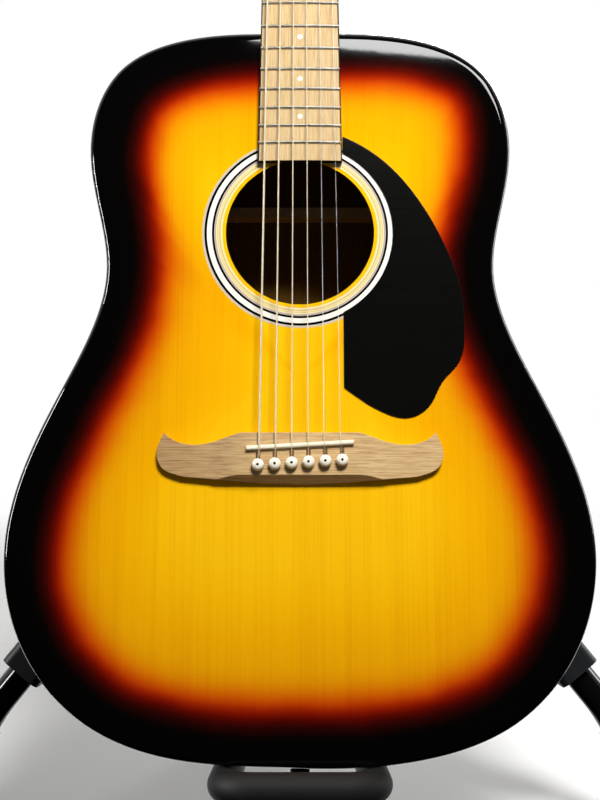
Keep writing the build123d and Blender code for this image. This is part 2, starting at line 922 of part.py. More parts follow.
# Nut: bone, with a slot for each string
nut_places = spread_places(nut_spread)
with BuildPart() as nut:
    with BuildSketch(side_plane(0)):
        with BuildLine():
            Polyline(
                (nut_line, 0),
                (nut_back, 0),
                (nut_back, nut_height - nut_bevel_drop),
                (nut_back - nut_bevel_width, nut_height),
                (nut_line, nut_height),
                close=True,
            )
        make_face()
    extrude(amount=nut_width / 2, both=True)
    for across, diameter in zip(nut_places, string_diameters):
        with BuildSketch(face_plane(nut_slot_floor)):
            with Locations((across, nut_line + nut_thickness / 2)):
                Rectangle(diameter + 2 * joint_gap, 2 * nut_thickness)
        extrude(amount=nut_height, mode=Mode.SUBTRACT)
write(nut.part, "nut")

# Headstock plane: tilted back from the nut
tilt_turn = math.radians(head_tilt)
HEAD = Plane(
    origin=spot(0, nut_back, 0),
    x_dir=GUITAR.x_dir,
    z_dir=GUITAR.z_dir * math.cos(tilt_turn) + GUITAR.y_dir * math.sin(tilt_turn),
)
HEAD_BACK = HEAD.offset(-headplate_thickness - head_thickness)


def head_face(plane):
    """A plain flared headstock with a gently crowned top."""
    with BuildSketch(plane) as region:
        with BuildLine():
            Line((0, 0), (nut_width / 2, 0))
            Spline((nut_width / 2, 0), (head_base_width / 2, head_flare), tangents=[(0.1, 1), (0.2, 1)])
            Line((head_base_width / 2, head_flare), (head_top_width / 2, head_length - head_corner))
            Spline(
                (head_top_width / 2, head_length - head_corner),
                (head_top_width / 2 - head_corner, head_length),
                (0, head_length + head_crown),
                tangents=[(0, 1), (-1, 0)],
            )
            mirror(about=Plane.YZ)
        make_face()
    return region.sketch


# Machine heads: three a side, from the nut upwards
post_places = []
for string in range(6):
    row = string if string < 3 else 5 - string
    side_of = -1 if string < 3 else 1
    post_places.append((side_of * post_across, post_first + row * post_pitch))
screw_reach = tuner_plate_length / 2 - screw_margin
screw_places = [
    (across, along + tuner_plate_shift + end * screw_reach)
    for across, along in post_places
    for end in (-1, 1)
]


def rod_space(gap, nut_gap):
    """The truss rod with its square nut, in the neck's channel."""
    with BuildPart() as rod:
        with BuildSketch(cross_plane(rod_heel_end - gap)):
            with Locations((0, -rod_depth)):
                Circle(rod_radius + gap)
        extrude(amount=-(nut_back - rod_heel_end + 2 * gap))
        with BuildSketch(cross_plane(nut_back - nut_gap)):
            with Locations((0, -rod_depth)):
                RegularPolygon(rod_nut_across / 2 + nut_gap, 6, major_radius=False)
        extrude(amount=-rod_nut_length - 2 * nut_gap)
    return rod.part


write(rod_space(0, 0), "truss_rod")

# Neck: a rounded shaft, a swept heel with a tenon, and the headstock
with BuildPart() as neck:
    for along, depth in ((body_length - side_thickness, neck_depth_at_heel), (nut_back, neck_depth_at_nut)):
        with BuildSketch(cross_plane(along)):
            Ellipse(board_width(along) / 2, depth)
            with Locations((0, depth)):
                Rectangle(board_width(along) + depth, 2 * depth, mode=Mode.SUBTRACT)
    loft()
    heel_sections = (
        (-neck_depth_at_heel / 2, heel_root_length, board_width(body_length) - heel_root_inset),
        (-depth_at_neck / 2, heel_waist_length, heel_waist_width),
        (heel_clearance - depth_at_neck, heel_foot_length, heel_foot_width),
    )
    for out, length, width in heel_sections:
        with BuildSketch(face_plane(out)):
            with Locations((0, body_length)):
                Ellipse(width / 2, length)
            with Locations((0, body_length - side_thickness)):
                Rectangle(2 * width, 2 * length, align=(Align.CENTER, Align.MAX), mode=Mode.SUBTRACT)
    loft()
    extrude(head_face(HEAD.offset(-headplate_thickness)), amount=-head_thickness)
    extrude(head_face(HEAD), amount=-headplate_thickness, mode=Mode.SUBTRACT)
    extrude(outline_face(face_plane(edge_round)), amount=-depth_at_tail - edge_round, mode=Mode.SUBTRACT)
    add(tenon_box(0))
    add(rod_space(joint_gap, joint_gap), mode=Mode.SUBTRACT)
    with BuildSketch(cross_plane(rod_heel_end)):
        Rectangle(2 * (rod_radius + joint_gap), 2 * rod_depth)
    extrude(amount=-(nut_back - rod_heel_end), mode=Mode.SUBTRACT)
    with BuildSketch(HEAD):
        with Locations((0, rod_pocket_length / 2)):
            Rectangle(rod_pocket_width, rod_pocket_length)
    extrude(amount=-rod_depth - rod_nut_across / 2, mode=Mode.SUBTRACT)
    with BuildSketch(HEAD):
        with Locations(*post_places):
            Circle(bushing_radius + joint_gap)
    extrude(amount=-headplate_thickness - head_thickness, mode=Mode.SUBTRACT)
    with BuildSketch(HEAD_BACK):
        with Locations(*screw_places):
            Circle(screw_radius + joint_gap)
    extrude(amount=screw_length, mode=Mode.SUBTRACT)
write(neck.part, "neck")

# Headplate: a veneer on the front of the headstock
with BuildPart() as headplate:
    extrude(head_face(HEAD), amount=-headplate_thickness)
    with BuildSketch(HEAD):
        with Locations(*post_places):
            Circle(bushing_radius + joint_gap)
        with Locations((0, rod_pocket_length / 2)):
            Rectangle(rod_pocket_width, rod_pocket_length)
    extrude(amount=-headplate_thickness, mode=Mode.SUBTRACT)
write(headplate.part, "headplate")

# Truss rod cover: a small bell-shaped plate over the pocket
with BuildPart() as truss_rod_cover:
    with BuildSketch(HEAD):
        with BuildLine():
            Line((0, cover_nut_gap), (cover_width / 2, cover_nut_gap))
            Spline(
                (cover_width / 2, cover_nut_gap),
                (cover_waist_width / 2, cover_waist_height),
                (0, cover_length),
                tangents=[(0, 1), (-1, 0)],
            )
            mirror(about=Plane.YZ)
        make_face()
    extrude(amount=cover_thickness)
write(truss_rod_cover.part, "truss_rod_cover")

# Bushings: a flanged sleeve for each post
with BuildPart() as tuner_bushings:
    with BuildSketch(HEAD):
        with Locations(*post_places):
            Circle(bushing_flange)
    extrude(amount=bushing_flange_height)
    with BuildSketch(HEAD):
        with Locations(*post_places):
            Circle(bushing_radius)
    extrude(amount=-bushing_depth)
    with BuildSketch(HEAD.offset(bushing_flange_height)):
        with Locations(*post_places):
            Circle(post_radius + running_gap)
    extrude(amount=-bushing_flange_height - bushing_depth, mode=Mode.SUBTRACT)
write(tuner_bushings.part, "tuner_bushings")

# Tuner plates: behind the headstock, with two ears that carry the worm
TUNER = HEAD_BACK.offset(-tuner_plate_thickness)
worm_lift = gear_lift + gear_thickness / 2
with BuildPart() as tuner_plates:
    with BuildSketch(HEAD_BACK):
        for across, along in post_places:
            with Locations((across, along + tuner_plate_shift)):
                RectangleRounded(tuner_plate_width, tuner_plate_length, tuner_plate_width / 4)
    extrude(amount=-tuner_plate_thickness)
    with BuildSketch(TUNER):
        for across, along in post_places:
            for ear in (-ear_half_gap - ear_thickness / 2, ear_half_gap + ear_thickness / 2):
                with Locations((across + ear, along + worm_distance)):
                    Rectangle(ear_thickness, ear_width)
    extrude(amount=-ear_height)
    for across, along in post_places:
        worm_centre = TUNER.from_local_coords((across, along + worm_distance, -worm_lift))
        with BuildSketch(Plane(worm_centre, z_dir=HEAD.x_dir)):
            Circle(worm_shaft_radius + running_gap)
        extrude(amount=tuner_plate_width, both=True, mode=Mode.SUBTRACT)
    with BuildSketch(HEAD_BACK):
        with Locations(*post_places):
            Circle(post_radius + running_gap)
        with Locations(*screw_places):
            Circle(screw_radius + joint_gap)
    extrude(amount=-tuner_plate_thickness, mode=Mode.SUBTRACT)
write(tuner_plates.part, "tuner_plates")

# Tuner screws: two in each plate
with BuildPart() as tuner_screws:
    with BuildSketch(TUNER):
        with Locations(*screw_places):
            Circle(screw_head_radius)
    extrude(amount=-screw_head_height)
    with BuildSketch(TUNER):
        with Locations(*screw_places):
            Circle(screw_radius)
    extrude(amount=screw_length)
write(tuner_screws.part, "tuner_screws")


def tuner_post(across, along, diameter):
    """A string post, its toothed wheel and the turns of string on it."""
    centre = HEAD.from_local_coords((across, along, 0))
    upright = Plane(centre, x_dir=HEAD.x_dir, z_dir=-HEAD.y_dir)
    spin = Axis(centre, HEAD.z_dir)
    wheel_top = -headplate_thickness - head_thickness - tuner_plate_thickness - gear_lift
    turns_top = string_height_on_post + diameter
    turns_foot = turns_top - string_turns * diameter
    waist_foot = bushing_flange_height + post_shoulder + post_taper
    collar_foot = post_height - post_collar_height
    with BuildPart() as post:
        with BuildSketch(upright):
            with BuildLine():
                Polyline(
                    (0, wheel_top - gear_thickness),
                    (post_waist, wheel_top - gear_thickness),
                    (post_waist, wheel_top),
                    (post_radius, wheel_top),
                    (post_radius, waist_foot - post_taper),
                    (post_waist, waist_foot),
                    (post_waist, collar_foot - post_collar_taper),
                    (post_radius, collar_foot),
                    (post_radius, post_height - post_chamfer),
                    (post_radius - post_chamfer, post_height),
                    (0, post_height),
                    close=True,
                )
            make_face()
        revolve(axis=spin)
    with BuildPart() as wheel:
        with BuildSketch(HEAD.offset(wheel_top)):
            with Locations((across, along)):
                Circle(gear_tip_radius)
                Circle(post_waist, mode=Mode.SUBTRACT)
        extrude(amount=-gear_thickness)
        with BuildSketch(HEAD.offset(wheel_top)):
            with Locations((across, along)):
                with PolarLocations(gear_root_radius, gear_teeth):
                    gap_width = (1 - tooth_share) * 2 * math.pi * gear_root_radius / gear_teeth
                    Rectangle(
                        2 * (gear_tip_radius - gear_root_radius),
                        gap_width,
                        align=(Align.MIN, Align.CENTER),
                    )
        extrude(amount=-gear_thickness, mode=Mode.SUBTRACT)
    with BuildPart() as wheel_screw:
        with BuildSketch(HEAD.offset(wheel_top - gear_thickness)):
            with Locations((across, along)):
                Circle(gear_screw_radius)
        extrude(amount=-screw_head_height)
    with BuildPart() as turns:
        with BuildSketch(upright):
            with BuildLine():
                Polyline(
                    (post_waist, turns_top),
                    (post_waist, turns_foot),
                    (post_waist + diameter / 2, turns_foot),
                )
                for turn in range(string_turns):
                    low = turns_foot + turn * diameter
                    ThreePointArc(
                        (post_waist + diameter / 2, low),
                        (post_waist + diameter, low + diameter / 2),
                        (post_waist + diameter / 2, low + diameter),
                    )
                Line((post_waist + diameter / 2, turns_top), (post_waist, turns_top))
            make_face()
        revolve(axis=spin)
    return Compound([piece.part.solid() for piece in (post, wheel, wheel_screw, turns)])


def tuner_button(across, along):
    """A worm shaft between the plate's ears, with a button outside the headstock."""
    outward = 1 if across > 0 else -1
    centre = TUNER.from_local_coords((across, along + worm_distance, -worm_lift))
    shaft_plane = Plane(centre, x_dir=HEAD.y_dir, z_dir=HEAD.x_dir * outward)
    ear_outside = ear_half_gap + ear_thickness
    with BuildPart() as button:
        with BuildSketch(shaft_plane.offset(-worm_length / 2)):
            Circle(worm_radius)
        extrude(amount=worm_length)
        with BuildSketch(shaft_plane.offset(-ear_outside - worm_shaft_end)):
            Circle(worm_shaft_radius)
        extrude(amount=ear_outside + worm_shaft_end + button_start + button_shaft_seat)
        with BuildSketch(shaft_plane.offset(button_start + button_collar_seat - button_collar_length)):
            Circle(button_collar_radius)
        extrude(amount=button_collar_length)
        with BuildSketch(Plane(
            centre + shaft_plane.z_dir * (button_start + button_length / 2),
            x_dir=shaft_plane.z_dir,
            z_dir=HEAD.z_dir,
        )):
            Ellipse(button_length / 2, button_width / 2)
        extrude(amount=button_thickness / 2, both=True)
        fillet(button.edges().filter_by(GeomType.ELLIPSE), button_rim)
    return button.part


for string, (across, along) in enumerate(post_places):
    write(tuner_post(across, along, string_diameters[string]), f"tuner_post_{string + 1}")
    write(tuner_button(across, along), f"tuner_button_{string + 1}")

# Strings: from the ball end under the bridge, over the saddle and the nut, to the post
saddle_places = spread_places(saddle_spread)
ball_depth = top_thickness + bridge_plate_thickness


def string_tube(number):
    radius = string_diameters[number] / 2
    pin_across, pin_along = pin_places[number]
    slot_along = pin_along + pin_bore + radius + joint_gap
    saddle_across = saddle_places[number]
    saddle_along = saddle_centre + saddle_across * saddle_turn
    post_x, post_y = post_places[number]
    inward = 1 if post_x < 0 else -1
    winding = post_waist + radius
    past_nut = spot(nut_places[number], nut_back + nut_exit, nut_slot_floor + radius + string_gap)
    tangent_point = HEAD.from_local_coords((post_x + inward * winding, post_y, string_height_on_post))
    stop_short = math.sqrt((winding + 2 * radius + touch_gap) ** 2 - winding ** 2)
    tail_end = tangent_point + (past_nut - tangent_point).normalized() * stop_short
    with BuildPart() as tube:
        with BuildLine() as route:
            FilletPolyline(
                spot(pin_across, slot_along, -ball_depth - ball_radius - joint_gap),
                spot(pin_across, slot_along, string_bend),
                spot(saddle_across, saddle_along - saddle_thickness / 3, saddle_top + radius + joint_gap),
                past_nut,
                tail_end,
                radius=(pin_turn_radius, pin_turn_radius, nut_turn_radius),
            )
        with BuildSketch(Plane(route.line @ 0, z_dir=route.line % 0)):
            Circle(radius)
        sweep()
        ball_along = pin_along + pin_bore + ball_radius
        ball_centre = spot(pin_across, ball_along, -ball_depth - ball_radius - joint_gap)
        with BuildSketch(Plane(ball_centre, z_dir=GUITAR.x_dir)):
            Circle(ball_radius)
        extrude(amount=ball_half_length, both=True)
    return tube.part


string_tubes = [string_tube(number) for number in range(6)]
write(Compound([tube.solid() for tube in string_tubes[:wound_count]]), "wound_strings")
write(Compound([tube.solid() for tube in string_tubes[wound_count:]]), "plain_strings")

# Stand: two splayed front legs in the frame's plane, each bent forward at the knee
splay_turn = math.radians(splay)
sides = (("left", -1), ("right", 1))


def leg_spot(side_of, reach):
    """A point on a front leg's axis, at a distance from the apex."""
    return frame_spot(side_of * math.sin(splay_turn) * reach, apex_height - math.cos(splay_turn) * reach)


def leg_direction(side_of):
    return (leg_spot(side_of, 2) - leg_spot(side_of, 1)).normalized()


def leg_plane(side_of, reach):
    """A plane square to a front leg, with y out of the frame."""
    outwards = leg_direction(side_of)
    return Plane(leg_spot(side_of, reach), x_dir=FRAME.z_dir.cross(outwards), z_dir=outwards)


def foot_direction(side_of):
    return Vector(side_of * foot_sideways, -foot_forward, -1).normalized()


def floor_spot(side_of, lift):
    """Where the lower leg's axis comes down to a height above the floor."""
    knee = leg_spot(side_of, knee_at)
    fall = foot_direction(side_of)
    return knee + fall * ((knee.Z - lift) / -fall.Z)


def bolt_places(side_of):
    """Frame bolts on one side: through the collar and through the hub's socket."""
    places = []
    for reach, wall in ((collar_bolt_at, collar_size / 2), (socket_bolt_at, socket_radius)):
        base = leg_spot(side_of, reach) - FRAME.z_dir * wall
        places.append((Plane(base, x_dir=FRAME.x_dir, z_dir=-FRAME.z_dir), wall))
    return places


def bolt_holes(side_of):
    with BuildPart() as holes:
        for plane, wall in bolt_places(side_of):
            with BuildSketch(plane):
                Circle(bolt_radius + joint_gap)
            extrude(amount=-wall)
    return holes.part


def front_leg(side_of):
    with BuildPart() as leg:
        with BuildLine() as route:
            FilletPolyline(
                leg_spot(side_of, leg_start),
                leg_spot(side_of, knee_at),
                floor_spot(side_of, tube_floor_gap),
                radius=knee_bend,
            )
        with BuildSketch(leg_plane(side_of, leg_start)):
            Circle(leg_radius)
            Circle(leg_radius - tube_wall, mode=Mode.SUBTRACT)
        sweep()
        add(bolt_holes(side_of), mode=Mode.SUBTRACT)
    return leg.part


def turned_boot(top, fall, length, tube, outer, foot):
    """A rubber boot round a tube's end, cut flat on the floor."""
    across = fall.cross(Vector(0, 0, 1)).normalized()
    profile = Plane(top, x_dir=across, z_dir=across.cross(fall))
    sole = length + foot
    tube_stop = length - tube_floor_gap / -fall.Z
    with BuildPart() as boot:
        with BuildSketch(profile):
            with BuildLine():
                Polyline(
                    (tube, 0),
                    (outer - boot_lip, 0),
                    (outer, boot_lip),
                    (outer, length - boot_foot_height),
                    (foot, length - boot_foot_edge),
                    (foot, sole),
                    (0, sole),
                    (0, tube_stop),
                    (tube, tube_stop),
                    close=True,
                )
            make_face()
        revolve(axis=Axis(top, fall))
        split(bisect_by=FLOOR, keep=Keep.TOP)
    return boot.part


for name, side_of in sides:
    write(front_leg(side_of), f"front_leg_{name}")
    knee_turn = math.radians(leg_direction(side_of).get_angle(foot_direction(side_of)))
    bend_reach = knee_bend * math.tan(knee_turn / 2)
    boot_top = leg_spot(side_of, knee_at) + foot_direction(side_of) * (bend_reach + boot_start)
    boot_length = (floor_spot(side_of, 0) - boot_top).length
    boot = turned_boot(
        boot_top, foot_direction(side_of), boot_length, leg_radius, boot_radius, boot_foot_radius
    )
    write(boot, f"boot_{name}")

# Leg collars: square T-fittings that carry the crossbar
collar_middle = collar_end - collar_length / 2
crossbar_up = apex_height - math.cos(splay_turn) * collar_middle
crossbar_half = math.sin(splay_turn) * collar_middle - crossbar_end_gap
with BuildPart() as leg_collars:
    for name, side_of in sides:
        with BuildSketch(leg_plane(side_of, collar_end)):
            RectangleRounded(collar_size, collar_size, collar_corner)
        extrude(amount=-collar_length)
        middle = leg_spot(side_of, collar_middle)
        with BuildSketch(Plane(middle, x_dir=FRAME.y_dir, z_dir=FRAME.x_dir * -side_of)):
            Circle(boss_radius)
        extrude(amount=boss_length)
        with BuildSketch(leg_plane(side_of, collar_end)):
            Circle(leg_radius)
        extrude(amount=-collar_length - boss_length, mode=Mode.SUBTRACT)
        with BuildSketch(Plane(middle, x_dir=FRAME.y_dir, z_dir=FRAME.x_dir * -side_of)):
            Circle(crossbar_radius)
        extrude(amount=boss_length, mode=Mode.SUBTRACT)
        add(bolt_holes(side_of), mode=Mode.SUBTRACT)
write(leg_collars.part, "leg_collars")

# Crossbar: a tube between the collars
with BuildPart() as crossbar:
    with BuildSketch(Plane(frame_spot(0, crossbar_up), x_dir=FRAME.y_dir, z_dir=FRAME.x_dir)):
        Circle(crossbar_radius)
        Circle(crossbar_radius - tube_wall, mode=Mode.SUBTRACT)
    extrude(amount=crossbar_half, both=True)
write(crossbar.part, "crossbar")

# Apex hub: two sockets for the legs and a clevis for the rear leg
pivot_up = apex_height
pivot = frame_spot(0, pivot_up, -rear_pivot_back)
ear_inside = eye_width / 2 + hinge_gap
with BuildPart() as apex_hub:
    with BuildSketch(FRAME.offset(hub_inset - socket_radius)):
        with Locations((0, apex_height - hub_height / 2 + leg_radius)):
            Rectangle(hub_width, hub_height)
    extrude(amount=hub_depth)
    fillet(apex_hub.edges().filter_by(Axis((0, 0, 0), FRAME.z_dir)), hub_round)
    for name, side_of in sides:
        with BuildSketch(leg_plane(side_of, socket_start)):
            Circle(socket_radius)
        extrude(amount=socket_end - socket_start)
    for name, side_of in sides:
        ear_plane = Plane(
            frame_spot(side_of * ear_inside, pivot_up, -rear_pivot_back),
            x_dir=FRAME.y_dir,
            z_dir=FRAME.x_dir * side_of,
        )
        ear_foot = Align.MIN if side_of > 0 else Align.MAX
        ear_reach = rear_pivot_back - socket_radius + ear_root
        with BuildSketch(ear_plane):
            Circle(eye_radius)
            Rectangle(2 * eye_radius, ear_reach, align=(Align.CENTER, ear_foot))
        extrude(amount=ear_wall)
    for name, side_of in sides:
        with BuildSketch(leg_plane(side_of, leg_start)):
            Circle(leg_radius)
        extrude(amount=socket_end, mode=Mode.SUBTRACT)
        add(bolt_holes(side_of), mode=Mode.SUBTRACT)
    with BuildSketch(Plane(pivot, x_dir=FRAME.y_dir, z_dir=FRAME.x_dir)):
        Circle(hinge_pin_radius + joint_gap)
    extrude(amount=hub_width, both=True, mode=Mode.SUBTRACT)
write(apex_hub.part, "apex_hub")

# Hinge pin: headed at both ends, through the clevis and the rear leg's eye
with BuildPart() as hinge_pin:
    with BuildSketch(Plane(pivot, x_dir=FRAME.y_dir, z_dir=FRAME.x_dir)):
        Circle(hinge_pin_radius)
    extrude(amount=ear_inside + ear_wall, both=True)
    for name, side_of in sides:
        head_place = pivot + FRAME.x_dir * (side_of * (ear_inside + ear_wall))
        with BuildSketch(Plane(head_place, z_dir=FRAME.x_dir * side_of)):
            Circle(hinge_head_radius)
        extrude(amount=hinge_head_height)
write(hinge_pin.part, "hinge_pin")

# Frame bolts: four, from behind
with BuildPart() as frame_bolts:
    for name, side_of in sides:
        for plane, wall in bolt_places(side_of):
            with BuildSketch(plane):
                Circle(bolt_head_radius)
            extrude(amount=bolt_head_height)
            with BuildSketch(plane):
                Circle(bolt_radius)
            extrude(amount=-wall + leg_radius - 2 * tube_wall)
write(frame_bolts.part, "frame_bolts")

# Rear leg: an eye with a plug, a tube and a boot
rear_turn = math.radians(rear_angle)
rear_fall = Vector(0, math.sin(rear_turn), -math.cos(rear_turn))
rear_length = pivot.Z / math.cos(rear_turn)
REAR = Plane(pivot, x_dir=(1, 0, 0), z_dir=rear_fall)
with BuildPart() as rear_leg_eye:
    with BuildSketch(REAR):
        Circle(rear_tube_radius)
    extrude(amount=rear_tube_start)
    with BuildSketch(REAR):
        Circle(rear_tube_radius - tube_wall)
    extrude(amount=rear_tube_start + rear_plug)
    with BuildSketch(Plane(pivot, x_dir=rear_fall, z_dir=(1, 0, 0))):
        Circle(eye_radius)
    extrude(amount=eye_width / 2, both=True)
    with BuildSketch(Plane(pivot, x_dir=rear_fall, z_dir=(1, 0, 0))):
        Circle(hinge_pin_radius + running_gap)
    extrude(amount=eye_width, both=True, mode=Mode.SUBTRACT)
write(rear_leg_eye.part, "rear_leg_eye")

with BuildPart() as rear_leg:
    with BuildSketch(REAR.offset(rear_tube_start)):
        Circle(rear_tube_radius)
        Circle(rear_tube_radius - tube_wall, mode=Mode.SUBTRACT)
    extrude(amount=rear_length - rear_tube_start - tube_floor_gap / math.cos(rear_turn))
write(rear_leg.part, "rear_leg")

rear_boot_top = pivot + rear_fall * (rear_length - rear_boot_length)
rear_boot = turned_boot(
    rear_boot_top, rear_fall, rear_boot_length, rear_tube_radius, rear_boot_radius, boot_foot_radius
)
write(rear_boot, "rear_boot")

# Back pads: foam sleeves on the upper legs, against the guitar's back
pad_radius = frame_gap - touch_gap
with BuildPart() as back_pads:
    for name, side_of in sides:
        with BuildSketch(leg_plane(side_of, pad_start)):
            Circle(pad_radius)
            Circle(leg_radius, mode=Mode.SUBTRACT)
        extrude(amount=pad_end - pad_start)
write(back_pads.part, "back_pads")

# Cradle: one bent rod, from the crossbar down, forward under the tail and across in front of it
arm_along = outline_rise(cradle_half_width) - sleeve_radius - touch_gap
arm_back = -depth_at_tail + arm_along * math.tan(back_turn) - frame_gap / math.cos(back_turn)
arm_front = front_gap + sleeve_radius


def arm_spot(side_of, out):
    """A point on the axis of one of the cradle's arms."""
    return spot(side_of * cradle_half_width, arm_along, out)


def bent_rod(points, radius, bends):
    """A round rod along straight runs, with a bend at each corner."""
    with BuildPart() as rod:
        with BuildLine() as route:
            FilletPolyline(*points, radius=bends)
        with BuildSketch(Plane(route.line @ 0, z_dir=route.line % 0)):
            Circle(radius)
        sweep()
    return rod.part


front_run = (arm_spot(-1, arm_front), arm_spot(1, arm_front))
cradle_route = (
    frame_spot(-cradle_half_width, crossbar_up - arm_drop),
    arm_spot(-1, arm_back),
    *front_run,
    arm_spot(1, arm_back),
    frame_spot(cradle_half_width, crossbar_up - arm_drop),
)
sleeve_route = (arm_spot(-1, arm_back + sleeve_start), *front_run, arm_spot(1, arm_back + sleeve_start))
write(bent_rod(cradle_route, cradle_radius, (arm_bend, front_bend, front_bend, arm_bend)), "cradle")

# Cradle sleeve: soft rubber along the arms and the front of the cradle
with BuildPart() as cradle_sleeve:
    add(bent_rod(sleeve_route, sleeve_radius, front_bend))
    add(bent_rod(sleeve_route, cradle_radius, front_bend), mode=Mode.SUBTRACT)
write(cradle_sleeve.part, "cradle_sleeve")

# Arm clamps: round the crossbar, with a socket for each end of the cradle
with BuildPart() as arm_clamps:
    for name, side_of in sides:
        across = side_of * cradle_half_width
        bar_middle = frame_spot(across, crossbar_up)
        with BuildSketch(Plane(bar_middle, x_dir=FRAME.y_dir, z_dir=FRAME.x_dir)):
            Circle(clamp_radius)
        extrude(amount=clamp_length / 2, both=True)
        with BuildSketch(Plane(bar_middle, x_dir=FRAME.x_dir, z_dir=-FRAME.y_dir)):
            Circle(clamp_socket_radius)
        extrude(amount=clamp_socket)
        with BuildSketch(Plane(bar_middle, x_dir=FRAME.y_dir, z_dir=FRAME.x_dir)):
            Circle(crossbar_radius)
        extrude(amount=clamp_length, both=True, mode=Mode.SUBTRACT)
        arm_top = frame_spot(across, crossbar_up - arm_drop)
        with BuildSketch(Plane(arm_top, x_dir=FRAME.x_dir, z_dir=-FRAME.y_dir)):
            Circle(cradle_radius)
        extrude(amount=clamp_socket, mode=Mode.SUBTRACT)
write(arm_clamps.part, "arm_clamps")
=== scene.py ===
# %% [markdown]
# # A steel-string guitar on a folding stand
#
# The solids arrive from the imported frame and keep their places. This lesson gives each one the
# finish of the real thing, adds the fine pieces that are too small for the solids, and sets up a
# small studio. Patterns are measured in millimetres on the guitar itself: across the body, up
# from the tail, and out of the soundboard. A pore or a grain line then has its real width.

# %% Load the frame
import json
import math
from functools import partial

import bmesh
import bpy
import numpy as np
from mathutils import Matrix, Vector


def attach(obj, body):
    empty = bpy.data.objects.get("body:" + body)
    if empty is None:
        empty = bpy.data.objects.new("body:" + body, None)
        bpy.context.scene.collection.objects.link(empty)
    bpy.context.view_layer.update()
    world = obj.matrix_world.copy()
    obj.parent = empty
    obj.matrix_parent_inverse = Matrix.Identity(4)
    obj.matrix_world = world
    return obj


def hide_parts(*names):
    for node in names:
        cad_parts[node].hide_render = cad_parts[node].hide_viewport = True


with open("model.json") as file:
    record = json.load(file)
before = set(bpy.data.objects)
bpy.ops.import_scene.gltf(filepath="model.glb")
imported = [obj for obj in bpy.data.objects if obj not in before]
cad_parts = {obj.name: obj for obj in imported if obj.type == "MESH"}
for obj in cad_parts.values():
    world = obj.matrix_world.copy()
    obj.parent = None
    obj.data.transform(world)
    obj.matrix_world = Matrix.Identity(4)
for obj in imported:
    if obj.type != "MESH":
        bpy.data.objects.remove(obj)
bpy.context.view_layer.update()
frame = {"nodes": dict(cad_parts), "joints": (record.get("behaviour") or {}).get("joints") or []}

nodes = frame["nodes"]

# %% [markdown]
# ## Where things are
#
# The guitar leans back on its stand, so its own axes are tilted against the room. One matrix turns
# guitar millimetres into room metres, and a second one does the same for the headstock, which
# tilts back from the nut. Placing by these two keeps every measure below a workshop measure.

# %% The guitar's own axes, in millimetres and degrees
LEAN = 12.0
HEAD_TILT = 14.0
TAIL = Vector((0.0, -0.234, 0.110))
NUT_BACK = 861.5
HOLE_HEIGHT = 351.0
HOLE_RADIUS = 50.0
TOP_THICKNESS = 2.8
BODY_MIDDLE = 250.0
BODY_LENGTH = 495.0
HALF_DEPTH = 55.0
MM = 0.001

turn_out = Matrix.Rotation(math.radians(90 - LEAN), 3, "X")
turn_in = turn_out.transposed()
turn_head = turn_out @ Matrix.Rotation(math.radians(-HEAD_TILT), 3, "X")


def place(across, along, out):
    """A point on the guitar, given in millimetres, as a place in the room."""
    return TAIL + turn_out @ Vector((across, along, out)) * MM


def head_place(across, along, out):
    """A point on the headstock, measured from the back of the nut."""
    return place(0, NUT_BACK, 0) + turn_head @ Vector((across, along, out)) * MM


print("middle of the body", tuple(round(c, 3) for c in place(0, BODY_MIDDLE, 0)))

# %% [markdown]
# ## Tools for finishes
#
# Colours are written the way a person reads them from a picture, in sRGB, and one function turns
# them into the linear light that shaders add up. One more function puts a shader node into a
# material, with its options and its links, so that each finish below reads as a list of layers
# from the bare material outwards.


# %% Colour, nodes and materials
def linear(code):
    """An sRGB hex colour as linear red, green, blue and alpha."""
    parts = [int(code[i : i + 2], 16) / 255 for i in (1, 3, 5)]
    return tuple(c / 12.92 if c <= 0.04045 else ((c + 0.055) / 1.055) ** 2.4 for c in parts) + (1.0,)


def put(tree, kind, *values, get=0, stops=(), **settings):
    """Add one shader node, fill or link its sockets, and give back one of its outputs.

    Values go to the sockets in order, and a dictionary names its sockets. Stops are the colours
    of a ramp or the points of a curve.
    """
    node = tree.nodes.new("ShaderNode" + kind)
    for key, value in settings.items():
        setattr(node, key, value)
    for number, (position, value) in enumerate(stops):
        if kind == "FloatCurve":
            row = node.mapping.curves[0].points
            point = row[number] if number < 2 else row.new(position, value)
            point.location = (position, value)
        else:
            row = node.color_ramp.elements
            stop = row[number] if number < 2 else row.new(position)
            stop.position, stop.color = position, linear(value)
    sockets = {}
    for number, value in enumerate(values):
        sockets.update(value if isinstance(value, dict) else {number: value})
    for key, value in sockets.items():
        if isinstance(value, bpy.types.NodeSocket):
            tree.links.new(value, node.inputs[key])
        else:
            node.inputs[key].default_value = linear(value) if isinstance(value, str) else value
    return node.outputs[get] if node.outputs else node


def open_finish(name):
    """A new empty material, and the way to put nodes into it."""
    made = bpy.data.materials.new(name)
    made.use_nodes = True
    made.node_tree.nodes.clear()
    return made, partial(put, made.node_tree)


def cells(*sizes_mm):
    """The scale that gives a pattern cells of these sizes in millimetres."""
    return tuple(1 / size for size in sizes_mm)


def on_guitar(add):
    """Where a point of the surface is on the guitar, in millimetres."""
    turned_in = {"Location": -(turn_in @ TAIL) / MM, "Rotation": (math.radians(LEAN - 90), 0, 0)}
    return add("Mapping", add("TexCoord", get="Object"), {"Scale": (1 / MM,) * 3} | turned_in)


def dress(material, *names):
    """Give solids their material."""
    for name in names:
        nodes[name].data.materials.clear()
        nodes[name].data.materials.append(material)
    print(material.name, "on", *names)


